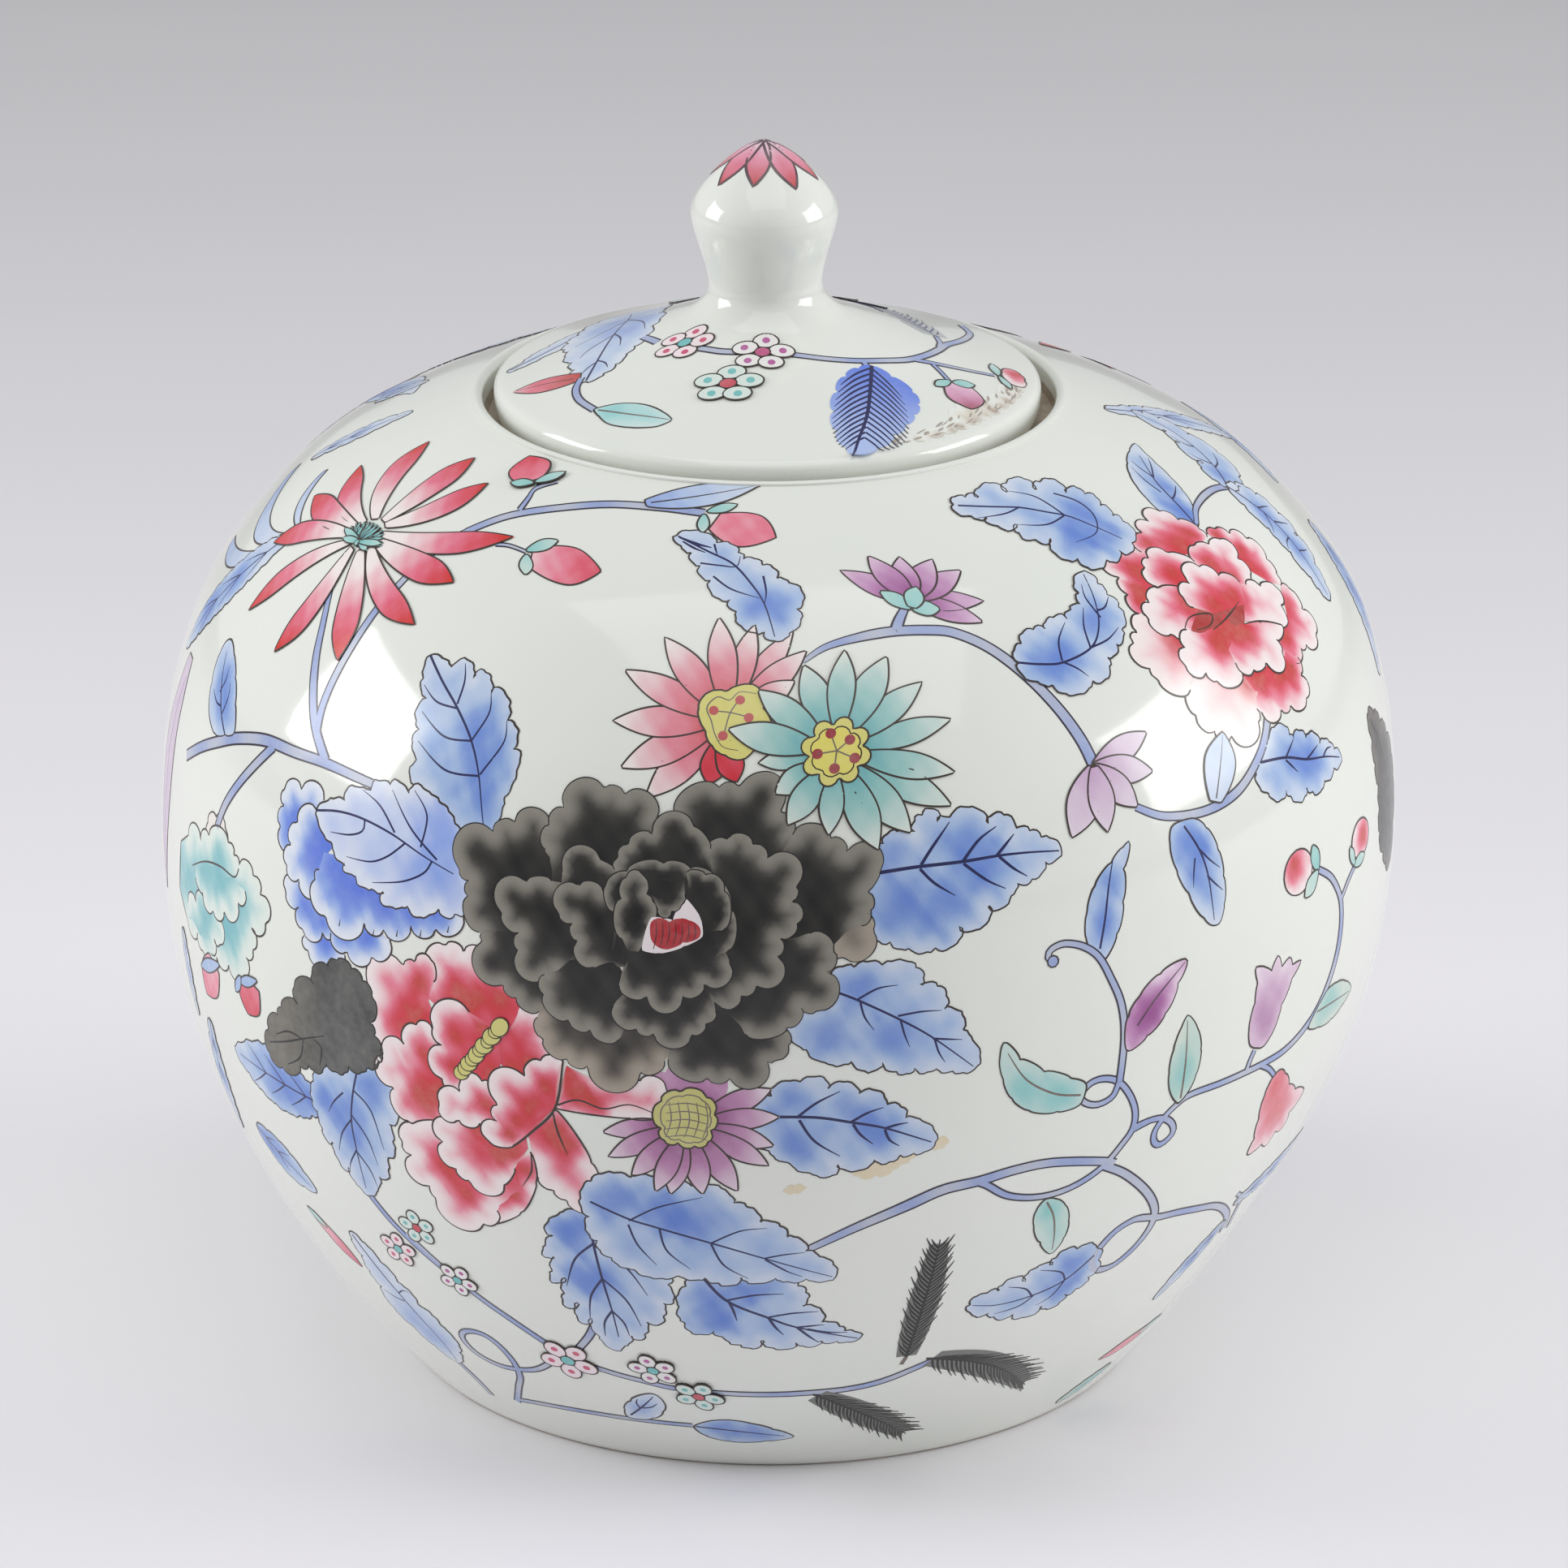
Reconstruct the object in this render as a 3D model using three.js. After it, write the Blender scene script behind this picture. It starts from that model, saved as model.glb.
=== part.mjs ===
// A thrown porcelain ginger jar: a wide round pot, a domed lid that drops into its
// mouth and sits on a ledge, and a bud-shaped knob luted onto the lid.
// Millimetres, +Z up. The origin is the centre of the foot, on the surface it stands on.
import * as THREE from 'three';

// ---- driving dimensions -------------------------------------------------------
const FOOT_RADIUS = 72;          // outside of the foot ring
const FOOT_RING_WIDTH = 8;       // flat unglazed band the jar stands on
const FOOT_RECESS = 5;           // how far the base is cut up inside the ring
const WALL = 5;                  // thickness of the thrown wall
const FLOOR_TOP = 13;            // height of the floor inside the pot

const MOUTH_RADIUS = 55;          // inside of the lip, above the ledge
const LIP_TOP = 194.3;           // highest line of the lip
const LEDGE_TOP = 189;           // unglazed ledge that carries the lid
const LEDGE_THICKNESS = 4.5;
const LEDGE_BORE = 46.5;         // open radius inside the ledge

const LID_RADIUS = 52.6;          // rounded edge of the lid
const LID_EDGE_HEIGHT = 194.7;   // height of that widest line
const LID_WALL = 5;              // thickness of the lid's dome
const FLANGE_RADIUS = 44.8;      // locating flange that drops through the ledge
const FLANGE_WALL = 4;
const FLANGE_BOTTOM = 183.5;

const KNOB_SEAT_RADIUS = 10.9;   // flat seat on the lid where the knob is luted on
const KNOB_SEAT_TOP = 215.5;
const KNOB_RADIUS = 14.1;
const KNOB_TOP = 244;

const AROUND = 56;               // facets around the axis
const CURVE_STEPS = 2;           // facets between two points of a thrown curve

// ---- materials ----------------------------------------------------------------
const glaze = new THREE.MeshStandardMaterial({ color: 0xe3e6df, roughness: 0.12, metalness: 0 });
const lidGlaze = new THREE.MeshStandardMaterial({ color: 0xe5e7e1, roughness: 0.12, metalness: 0 });
const knobGlaze = new THREE.MeshStandardMaterial({ color: 0xdcdfd6, roughness: 0.12, metalness: 0 });

// ---- helpers ------------------------------------------------------------------
function outline(...points) {
  return points.map(([radius, height]) => new THREE.Vector2(radius, height));
}

// A smooth line through the points, as a potter's rib would leave it.
function thrownCurve(...points) {
  const curve = new THREE.SplineCurve(outline(...points));
  return curve.getPoints((points.length - 1) * CURVE_STEPS);
}

// The same line moved inwards by the wall's thickness.
function insideOf(curve, thickness) {
  return curve.map((point, index) => {
    const before = curve[Math.max(index - 1, 0)];
    const after = curve[Math.min(index + 1, curve.length - 1)];
    const along = after.clone().sub(before).normalize();
    return new THREE.Vector2(point.x - along.y * thickness, point.y + along.x * thickness);
  });
}

// A quarter-round edge between two angles, in degrees from the outward direction.
function roundedEdge(radius, height, size, from, to, steps = 5) {
  return Array.from({ length: steps + 1 }, (_, step) => {
    const angle = THREE.MathUtils.degToRad(from + ((to - from) * step) / steps);
    return new THREE.Vector2(radius + size * Math.cos(angle), height + size * Math.sin(angle));
  });
}

// Turns a closed outline about the Z axis.
function turned(name, points, material) {
  const closed = points[0].x === 0 ? points : [...points, points[0].clone()];
  const geometry = new THREE.LatheGeometry(closed, AROUND);
  geometry.rotateX(Math.PI / 2);
  const mesh = new THREE.Mesh(geometry, material);
  mesh.name = name;
  return mesh;
}

// ---- pot ----------------------------------------------------------------------
const potWall = thrownCurve(
  [FOOT_RADIUS, 0], [87.6, 19.5], [100.2, 39], [110.1, 58.5], [116.8, 78], [119.8, 97.5],
  [120, 117], [117.4, 136.5], [110, 156], [94, 175], [76.8, 185.6], [MOUTH_RADIUS + 2.2, 193.6],
);

function pot() {
  const footInside = FOOT_RADIUS - FOOT_RING_WIDTH;
  const ledgeBottom = LEDGE_TOP - LEDGE_THICKNESS;
  const inside = insideOf(potWall, WALL).filter(
    (point) => point.y > FLOOR_TOP + 4 && point.y < ledgeBottom - 1,
  );
  const lip = roundedEdge(MOUTH_RADIUS + 1.4, LIP_TOP - 1.4, 1.4, 60, 180);
  return turned('jar_body', [
    ...outline([0, FOOT_RECESS], [footInside - 3, FOOT_RECESS], [footInside, 0]),
    ...potWall,
    ...lip,
    ...outline([MOUTH_RADIUS, LEDGE_TOP], [LEDGE_BORE, LEDGE_TOP], [LEDGE_BORE, ledgeBottom]),
    ...inside.reverse(),
    ...outline([inside.at(-1).x - 6, FLOOR_TOP], [0, FLOOR_TOP]),
  ], glaze);
}

// ---- lid ----------------------------------------------------------------------
const lidDome = thrownCurve(
  [49.8, 197.1], [44, 198.8], [35, 201.7], [26, 205.2], [20, 207.6], [15, 210],
  [12, 212.8], [KNOB_SEAT_RADIUS, KNOB_SEAT_TOP],
);

function lid() {
  const flangeInside = FLANGE_RADIUS - FLANGE_WALL;
  const edge = outline(
    [LID_RADIUS - 1.6, LEDGE_TOP], [LID_RADIUS - 0.4, LEDGE_TOP + 2.2],
    [LID_RADIUS, LID_EDGE_HEIGHT], [LID_RADIUS - 0.7, LID_EDGE_HEIGHT + 1.4],
  );
  const under = insideOf(lidDome, LID_WALL).filter(
    (point) => point.x > KNOB_SEAT_RADIUS + 3 && point.x < flangeInside - 2,
  );
  return turned('lid_cover', [
    ...outline([0, under.at(-1).y + 0.8]),
    ...under.reverse(),
    ...outline([flangeInside, 192], [flangeInside, FLANGE_BOTTOM]),
    ...outline([FLANGE_RADIUS, FLANGE_BOTTOM], [FLANGE_RADIUS, LEDGE_TOP]),
    ...edge,
    ...lidDome,
    ...outline([0, KNOB_SEAT_TOP]),
  ], lidGlaze);
}

// ---- knob ---------------------------------------------------------------------
function knob() {
  const bud = thrownCurve(
    [KNOB_SEAT_RADIUS, KNOB_SEAT_TOP], [11.6, 220], [13.4, 226], [KNOB_RADIUS, 229.5],
    [13.6, 232.2], [12, 234.8], [10, 237], [8, 239], [5.8, 240.9], [3, 242.8], [0, KNOB_TOP],
  );
  return turned('lid_knob', [...outline([0, KNOB_SEAT_TOP]), ...bud], knobGlaze);
}

const gingerJar = new THREE.Group();
gingerJar.add(pot(), lid(), knob());

export default gingerJar;
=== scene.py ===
"""A porcelain ginger jar with a domed lid, painted all over in raised enamels.

The pot and the lid are turned skins in clear glaze. Every leaf, petal, vine and ink line is
its own thin shell of enamel that lies on the curved glaze. Sizes are in millimetres until a
mesh is made. Azimuth 0 faces the camera (-Y) and grows to the viewer's right.
"""

import math

import bpy
import numpy as np
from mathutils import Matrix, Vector
from mathutils.geometry import delaunay_2d_cdt


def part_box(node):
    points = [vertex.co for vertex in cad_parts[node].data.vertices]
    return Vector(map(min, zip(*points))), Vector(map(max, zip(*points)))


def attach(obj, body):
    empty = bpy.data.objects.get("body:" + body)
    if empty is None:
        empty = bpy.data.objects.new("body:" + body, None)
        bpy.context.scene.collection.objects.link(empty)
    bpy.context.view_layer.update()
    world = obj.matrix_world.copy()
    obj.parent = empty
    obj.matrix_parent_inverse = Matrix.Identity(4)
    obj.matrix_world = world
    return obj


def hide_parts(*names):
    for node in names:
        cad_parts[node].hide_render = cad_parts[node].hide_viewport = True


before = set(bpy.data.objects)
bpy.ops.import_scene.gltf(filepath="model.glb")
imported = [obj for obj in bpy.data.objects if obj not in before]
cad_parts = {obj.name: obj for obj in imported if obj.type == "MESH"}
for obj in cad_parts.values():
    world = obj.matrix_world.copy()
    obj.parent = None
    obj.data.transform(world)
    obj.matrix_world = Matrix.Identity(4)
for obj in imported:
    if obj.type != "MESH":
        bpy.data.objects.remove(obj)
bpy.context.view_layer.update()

MM = 0.001
TAU = 2 * math.pi
rng = np.random.default_rng(7)


def top_of(node):
    """The far corner of a CAD node, in millimetres."""
    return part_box(node)[1] / MM


# ---- thrown profiles: (radius, height) -------------------------------------------------
LIP_TOP = top_of("jar_body").z
LID_RADIUS = top_of("lid_cover").x
KNOB_SEAT = top_of("lid_cover").z
KNOB_TOP = top_of("lid_knob").z

WALL_POINTS = [
    (72, 0), (87.6, 19.5), (100.2, 39), (110.1, 58.5), (116.8, 78), (119.8, 97.5),
    (120, 117), (117.4, 136.5), (110, 156), (94, 175), (76.8, 185.6), (57.2, LIP_TOP - 0.7),
]
LID_POINTS = [
    (49.8, 197.1), (44, 198.8), (35, 201.7), (26, 205.2), (20, 207.6), (15, 210),
    (12, 212.8), (10.9, KNOB_SEAT),
]
KNOB_POINTS = [
    (11.6, 220), (13.4, 226), (14.1, 229.5), (13.6, 232.2), (12, 234.8), (10, 237), (8, 239),
    (5.8, 240.9), (3, 242.8), (0, KNOB_TOP),
]
MOUTH_RADIUS = 55
LEDGE_TOP = 189
LEDGE_BORE = 46.5
LEDGE_BOTTOM = 184.5
FOOT_INSIDE = 64
FOOT_RECESS = 5
FLOOR_TOP = 13
WALL_THICKNESS = 5
FLANGE_RADIUS = 44.8
FLANGE_INSIDE = 40.8
FLANGE_BOTTOM = 183.5

# How far the hand-thrown axis wanders sideways, by height.
LEAN_HEIGHTS = [0, 30, 60, 95, 130, 160, 194]
LEAN_OFFSETS = [-1.3, -1.9, -0.9, -0.1, 0.2, 0.2, -1.7]
LID_OFFSET = -2.0
KNOB_OFFSET = -2.6
KNOB_LEAN_HEIGHTS = [205, 222]

# Points that the smooth lid profile gets between two of its knots.
LID_SPAN = 8

# The part of that profile which the underside follows, and where it stops below the knob.
UNDER_DOME = slice(0, 49, 3)
KNOB_ROOT = 14


def smooth_line(points, per_span=8):
    """Catmull-Rom line through the points."""
    knots = np.array(points, float)
    ends = [knots[0], *knots, knots[-1]]
    steps = np.linspace(0, 1, per_span, endpoint=False)[:, None]
    spans = []
    for before, start, stop, after in zip(ends, ends[1:], ends[2:], ends[3:]):
        pull_in, pull_out = (stop - before) / 2, (after - start) / 2
        spans.append(
            (2 * start - 2 * stop + pull_in + pull_out) * steps**3
            + (3 * stop - 3 * start - 2 * pull_in - pull_out) * steps**2
            + pull_in * steps
            + start
        )
    return np.vstack([*spans, knots[-1:]])


def run_of(line):
    """Distance along a line at each of its points."""
    return np.concatenate([[0], np.cumsum(np.linalg.norm(np.diff(line, axis=0), axis=1))])


def arc(radius, height, size, start, stop, steps=6):
    """Part of a circle round (radius, height), from start to stop degrees."""
    angles = np.radians(np.linspace(start, stop, steps + 1))
    return np.stack([radius + size * np.cos(angles), height + size * np.sin(angles)], 1)


def inside_of(line, thickness):
    """The line moved inwards by the wall thickness."""
    along = np.gradient(line, axis=0)
    along /= np.linalg.norm(along, axis=1)[:, None]
    return line + thickness * np.stack([-along[:, 1], along[:, 0]], 1)


def pot_lean(height):
    """How far the pot leans sideways at a height."""
    return np.interp(height, LEAN_SAMPLES, LEAN_CURVE)


LEAN_LINE = smooth_line(list(zip(LEAN_HEIGHTS, LEAN_OFFSETS)), 10)
LEAN_SAMPLES, LEAN_CURVE = LEAN_LINE.T
WALL_LINE = smooth_line(WALL_POINTS, 12)
LID_LINE = smooth_line([*LID_POINTS, *KNOB_POINTS], LID_SPAN)
SEAT_RING = LID_SPAN * (len(LID_POINTS) - 1)


# ---- faces that the painting lies on ---------------------------------------------------
class PotFace:
    """A flat sheet wrapped on the pot: x runs round it and y climbs it, from its own origin."""

    run = run_of(WALL_LINE)
    outward = np.gradient(WALL_LINE, axis=0)[:, ::-1] * [1, -1]

    def __init__(self, azimuth, climb):
        self.azimuth = math.radians(azimuth)
        self.climb = climb

    def find(self, azimuth, climb):
        """The sheet's own x and y for a direction in degrees and a climb from the foot."""
        radius = np.interp(climb, self.run, WALL_LINE[:, 0])
        return (math.radians(azimuth) - self.azimuth) * radius, climb - self.climb

    def lay(self, spots, lift):
        """Places the sheet's spots in the jar's frame, lifted off the glaze by lift."""
        spots = np.asarray(spots, float)
        climb = self.climb + spots[:, 1]
        radius = np.interp(climb, self.run, WALL_LINE[:, 0])
        height = np.interp(climb, self.run, WALL_LINE[:, 1])
        out = np.stack([np.interp(climb, self.run, self.outward[:, k]) for k in (0, 1)], 1)
        out /= np.linalg.norm(out, axis=1)[:, None]
        azimuth = self.azimuth + spots[:, 0] / radius
        radius = radius + lift * out[:, 0]
        return np.stack(
            [
                radius * np.sin(azimuth) + pot_lean(height),
                -radius * np.cos(azimuth),
                height + lift * out[:, 1],
            ],
            1,
        )


class LidFace:
    """The top of the lid or knob seen from above: x to the right and y away from the camera."""

    def __init__(self, line, offset):
        self.line = line[::-1]
        self.offset = offset
        slope = np.gradient(self.line, axis=0)
        out = np.stack([-slope[:, 1], slope[:, 0]], 1)
        self.out = out / np.linalg.norm(out, axis=1)[:, None]

    def lay(self, spots, lift):
        """Places the plan's spots in the jar's frame, lifted off the glaze by lift."""
        spots = np.asarray(spots, float)
        radius = np.maximum(np.hypot(spots[:, 0], spots[:, 1]), 1e-6)
        height = np.interp(radius, self.line[:, 0], self.line[:, 1])
        out_r = np.interp(radius, self.line[:, 0], self.out[:, 0])
        out_z = np.interp(radius, self.line[:, 0], self.out[:, 1])
        scale = (radius + lift * out_r) / radius
        return np.stack(
            [spots[:, 0] * scale + self.offset, spots[:, 1] * scale, height + lift * out_z], 1
        )


# ---- colours ---------------------------------------------------------------------------
def srgb(red, green, blue, cover=1.0):
    """A display colour, 0 to 255, as linear light, and how fully it covers the glaze."""
    display = np.array([red, green, blue]) / 255
    linear = np.where(display < 0.04045, display / 12.92, ((display + 0.055) / 1.055) ** 2.4)
    return np.array([*linear, cover])


GLAZE = srgb(231, 233, 226)
INK = srgb(58, 48, 42, 1.1)
SOFT_INK = srgb(104, 92, 84)
NAVY = srgb(34, 36, 84, 1.1)
VINE = srgb(144, 160, 206)
VINE_GREY = srgb(180, 186, 204)
RUST = srgb(190, 62, 48)
TEAL = srgb(108, 186, 186)
YELLOW = srgb(214, 206, 110)
SOOT = srgb(30, 29, 28, 1.15)


def mixed(first, second, share):
    """Blends two colours; share 0 gives the first and 1 the second."""
    share = np.clip(np.asarray(share, float), 0, 1)[..., None]
    return first * (1 - share) + second * share


def eased(value, low, high):
    """Rises softly from 0 at low to 1 at high."""
    share = np.clip((np.asarray(value, float) - low) / (high - low), 0, 1)
    return share * share * (3 - 2 * share)


def gap_to(spots, line):
    """Distance from each spot to the nearest part of a line."""
    spots = np.asarray(spots, float)
    line = np.asarray(line, float)
    start, along = line[:-1], np.diff(line, axis=0)
    length = np.maximum((along**2).sum(1), 1e-12)
    share = np.clip(((spots[:, None] - start) * along).sum(2) / length, 0, 1)
    near = start + share[..., None] * along
    return np.linalg.norm(spots[:, None] - near, axis=2).min(1)


def encloses(outline, spots):
    """Which spots lie inside a closed outline."""
    x, y = spots[:, 0][:, None], spots[:, 1][:, None]
    x0, y0 = outline.T
    x1, y1 = np.roll(outline, -1, axis=0).T
    crosses = (y0 > y) != (y1 > y)
    rise = np.where(y1 == y0, 1e-12, y1 - y0)
    return (crosses & (x < (x1 - x0) * (y - y0) / rise + x0)).sum(1) % 2 == 1


# ---- outlines --------------------------------------------------------------------------
def resampled(line, step):
    """The line with evenly spaced points about step apart."""
    run = run_of(line)
    count = max(2, int(round(run[-1] / step)) + 1)
    at = np.linspace(0, run[-1], count)
    return np.stack([np.interp(at, run, line[:, k]) for k in (0, 1)], 1)


def swell_side(points):
    """The side, 1 or -1, that lies outside a closed run of points."""
    corners = np.array([point[:2] for point in points], float)
    after = np.roll(corners, -1, axis=0)
    area = np.sum(corners[:, 0] * after[:, 1] - after[:, 0] * corners[:, 1])
    return -1 if area > 0 else 1


def scalloped(points, bulge=0.0, step=0.6):
    """A closed edge through the points, each span bowed out by bulge times its length.

    A point may carry its own bulge for the span that leaves it.
    """
    corners = np.array([point[:2] for point in points], float)
    bows = [point[2] if len(point) > 2 else bulge for point in points]
    after = np.roll(corners, -1, axis=0)
    side = swell_side(points)
    spans = [bowed(a, b, side * bow, step)[:-1] for a, b, bow in zip(corners, after, bows)]
    return np.vstack(spans)


def bowed(start, stop, bow, step=0.6):
    """A parabola-like span from start to stop that swells to its left by bow times its length."""
    start, stop = np.asarray(start, float), np.asarray(stop, float)
    along = stop - start
    length = np.linalg.norm(along)
    count = max(2, int(length * (1 + abs(bow)) / step) + 1)
    share = np.linspace(0, 1, count)[:, None]
    left = np.array([-along[1], along[0]])
    return start + along * share + left * bow * np.sqrt(np.maximum(share * (1 - share), 0)) * 2


def petal_edge(base, tip, width, fullness=0.55, neck=0.15, step=0.6):
    """A pointed petal or blade from base to tip, widest at fullness of its length."""
    base, tip = np.asarray(base, float), np.asarray(tip, float)
    along = tip - base
    length = np.linalg.norm(along)
    share = np.linspace(0, 1, max(6, int(length / step)))
    rise = np.where(share < fullness, share / fullness, (1 - share) / (1 - fullness))
    half = np.sin(rise * math.pi / 2) ** 0.9
    half = np.where(share < fullness, neck + (1 - neck) * half, half) * width / 2
    half = np.maximum(half, 0.04)
    side = np.array([-along[1], along[0]]) / length
    spine = base + along * share[:, None]
    return np.vstack([spine + side * half[:, None], (spine - side * half[:, None])[::-1]])


# ---- enamel ----------------------------------------------------------------------------
SUNK = -0.12
FIRST_LIFT = 0.045
LIFT_STEP = 0.008
INK_EDGE = 0.002
INK_CREST = 0.006
INK_LOAD = 1.15
INK_STEP = 0.8
RIBBON_STEP = 0.9

# Rows of the fill grid, and how near the edge its spots may come, in grid steps.
ROW_SPACING = 0.87
EDGE_CLEARANCE = 0.45

# Layers that two flowers start from, so that they lie over their neighbours.
PEONY_LEVEL = 12
ASTER_LEVEL = 16

# Corners sharper than these stay crisp.
ENAMEL_CREASE = math.radians(35)
SKIN_CREASE = math.radians(50)

# Facets round each turned skin.
POT_FACETS = 240
LID_FACETS = 200


class Painting:
    """Raised enamel shapes that share one face, gathered into one named mesh."""

    def __init__(self, name, body, face):
        self.name = name
        self.body = body
        self.face = face
        self.spots = []
        self.faces = []
        self.colours = []
        self.count = 0
        self.level = 0

    def _keep(self, places, faces, colours):
        """Adds points, faces and colours to the mesh so far."""
        self.spots.append(places)
        self.colours.append(np.broadcast_to(colours, (len(places), 4)))
        self.faces.extend([tuple(i + self.count for i in face) for face in faces])
        self.count += len(places)

    def height(self):
        """How high the present layer lies over the glaze."""
        return FIRST_LIFT + self.level * LIFT_STEP

    def fill(self, edge, colour, grain=1.3):
        """A flat patch of enamel; colour is one colour or a function of the spots."""
        edge = np.asarray(edge, float)
        self.level += 1
        low, high = edge.min(0), edge.max(0)
        across = np.arange(low[0], high[0], grain)
        up = np.arange(low[1], high[1], grain * ROW_SPACING)
        grid_x, grid_y = np.meshgrid(across, up)
        grid_x = grid_x + (np.arange(len(up)) % 2)[:, None] * grain / 2
        inside = np.stack([grid_x.ravel(), grid_y.ravel()], 1)
        inside = inside[encloses(edge, inside)]
        if len(inside):
            closed = np.vstack([edge, edge[:1]])
            inside = inside[gap_to(inside, closed) > grain * EDGE_CLEARANCE]
        every = [Vector(spot) for spot in np.vstack([edge, inside])]
        made = delaunay_2d_cdt(every, [], [list(range(len(edge)))], 1, 1e-4)
        spots = np.array([tuple(v) for v in made[0]])
        triangles = [tuple(face) for face in made[2]]
        triangles = [t if _turns_left(spots[list(t)]) else t[::-1] for t in triangles]
        self._slab(spots, triangles, colour)

    def _slab(self, spots, faces, colour):
        """Closes a sheet of faces with a sunk underside and side walls."""
        shades = colour(spots) if callable(colour) else np.tile(colour, (len(spots), 1))
        count = len(spots)
        uses = {}
        for face in faces:
            for a, b in zip(face, face[1:] + face[:1]):
                uses[(a, b)] = uses.get((a, b), 0) + 1
        rim = [(a, b) for a, b in uses if (b, a) not in uses]
        walls = [(b, a, a + count, b + count) for a, b in rim]
        under = [tuple(i + count for i in face[::-1]) for face in faces]
        places = np.vstack(
            [self.face.lay(spots, self.height()), self.face.lay(spots, SUNK)]
        )
        self._keep(places, [*faces, *under, *walls], np.vstack([shades, shades]))

    def _followed(self, points, width, press, step, smooth):
        """A stroke's middle line, and the offset from it to its left edge at each spot."""
        line = np.array([point[:2] for point in points], float)
        if smooth and len(line) > 2:
            line = smooth_line(line)
        line = resampled(line, step)
        run = np.linspace(0, 1, len(line))
        half = np.interp(run, np.linspace(0, 1, len(press)), press) * width / 2
        along = np.gradient(line, axis=0)
        along /= np.maximum(np.linalg.norm(along, axis=1), 1e-9)[:, None]
        return line, np.stack([-along[:, 1], along[:, 0]], 1) * half[:, None]

    def ink(self, points, width=0.42, press=(0.35, 1, 0.25), colour=INK, smooth=True):
        """A brush line: press gives its relative width along the stroke."""
        line, side = self._followed(points, width * INK_LOAD, press, INK_STEP, smooth)
        height = self.height()
        rows = [
            self.face.lay(line + side, height + INK_EDGE),
            self.face.lay(line, height + INK_CREST),
            self.face.lay(line - side, height + INK_EDGE),
            self.face.lay(line, SUNK),
        ]
        self._rope(rows, colour)

    def _rope(self, rows, colours):
        """Joins matching rows of points into one closed bar."""
        count, sides = len(rows[0]), len(rows)
        places = np.stack(rows, 1).reshape(-1, 3)
        faces = []
        for i in range(count - 1):
            for k in range(sides):
                a, b = i * sides + k, i * sides + (k + 1) % sides
                faces.append((a, b, b + sides, a + sides))
        last = (count - 1) * sides
        faces.append(tuple(range(sides))[::-1])
        faces.append(tuple(last + k for k in range(sides)))
        faces = [face[::-1] for face in faces]
        if np.ndim(colours) == 2:
            colours = np.repeat(colours, sides, axis=0)
        self._keep(places, faces, colours)

    def ribbon(self, points, width, press, colour):
        """A flat band of enamel along a line."""
        line, side = self._followed(points, width, press, RIBBON_STEP, True)
        height = self.height()
        rows = [
            self.face.lay(line + side, height),
            self.face.lay(line + side * 0.4, height + INK_EDGE),
            self.face.lay(line - side * 0.4, height + INK_EDGE),
            self.face.lay(line - side, height),
            self.face.lay(line, SUNK),
        ]
        shades = colour(line) if callable(colour) else np.tile(colour, (len(line), 1))
        self._rope(rows, shades)

    def vines(self, *stems):
        """Stems that run into one another: dark edges first, then the pale bodies on top.

        Each stem is its points, then its width, then how it swells along the way.
        """
        stems = [(stem[:-2], stem[-2], stem[-1]) for stem in stems]
        self.level += 1
        for points, width, press in stems:
            self.ribbon(points, width * 1.1 + 0.2, press, mixed(INK, NAVY, 0.35))
        self.level += 1
        for points, width, press in stems:
            slim = [p * (width * 1.1 - 0.5) / width for p in press]
            self.ribbon(points, width, slim, vine_wash)

    def finish(self, material):
        """Makes the mesh of everything laid so far and sets it on its body."""
        mesh = bpy.data.meshes.new(self.name)
        mesh.from_pydata((np.vstack(self.spots) * MM).tolist(), [], self.faces)
        shades = mesh.color_attributes.new("Enamel", "FLOAT_COLOR", "POINT")
        shades.data.foreach_set("color", np.vstack(self.colours).astype(np.float32).ravel())
        mesh.materials.append(material)
        mesh.polygons.foreach_set("use_smooth", np.ones(len(mesh.polygons), bool))
        mesh.set_sharp_from_angle(angle=ENAMEL_CREASE)
        mesh.update()
        return placed(self.name, mesh, self.body)


def _turns_left(corners):
    """Whether three corners run counter-clockwise."""
    (ax, ay), (bx, by), (cx, cy) = corners
    return (bx - ax) * (cy - ay) - (by - ay) * (cx - ax) > 0


def placed(name, mesh, body):
    """Puts a mesh in the scene as a named piece that rides on a body."""
    piece = bpy.data.objects.new(name, mesh)
    bpy.context.scene.collection.objects.link(piece)
    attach(piece, body)
    return piece


def vine_wash(line):
    """Pale lilac blue that pools and thins along a stem."""
    pools = 0.5 + 0.5 * np.sin(line[:, 0] * 0.35 + line[:, 1] * 0.27)
    return mixed(VINE_GREY, VINE, pools)


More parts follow.
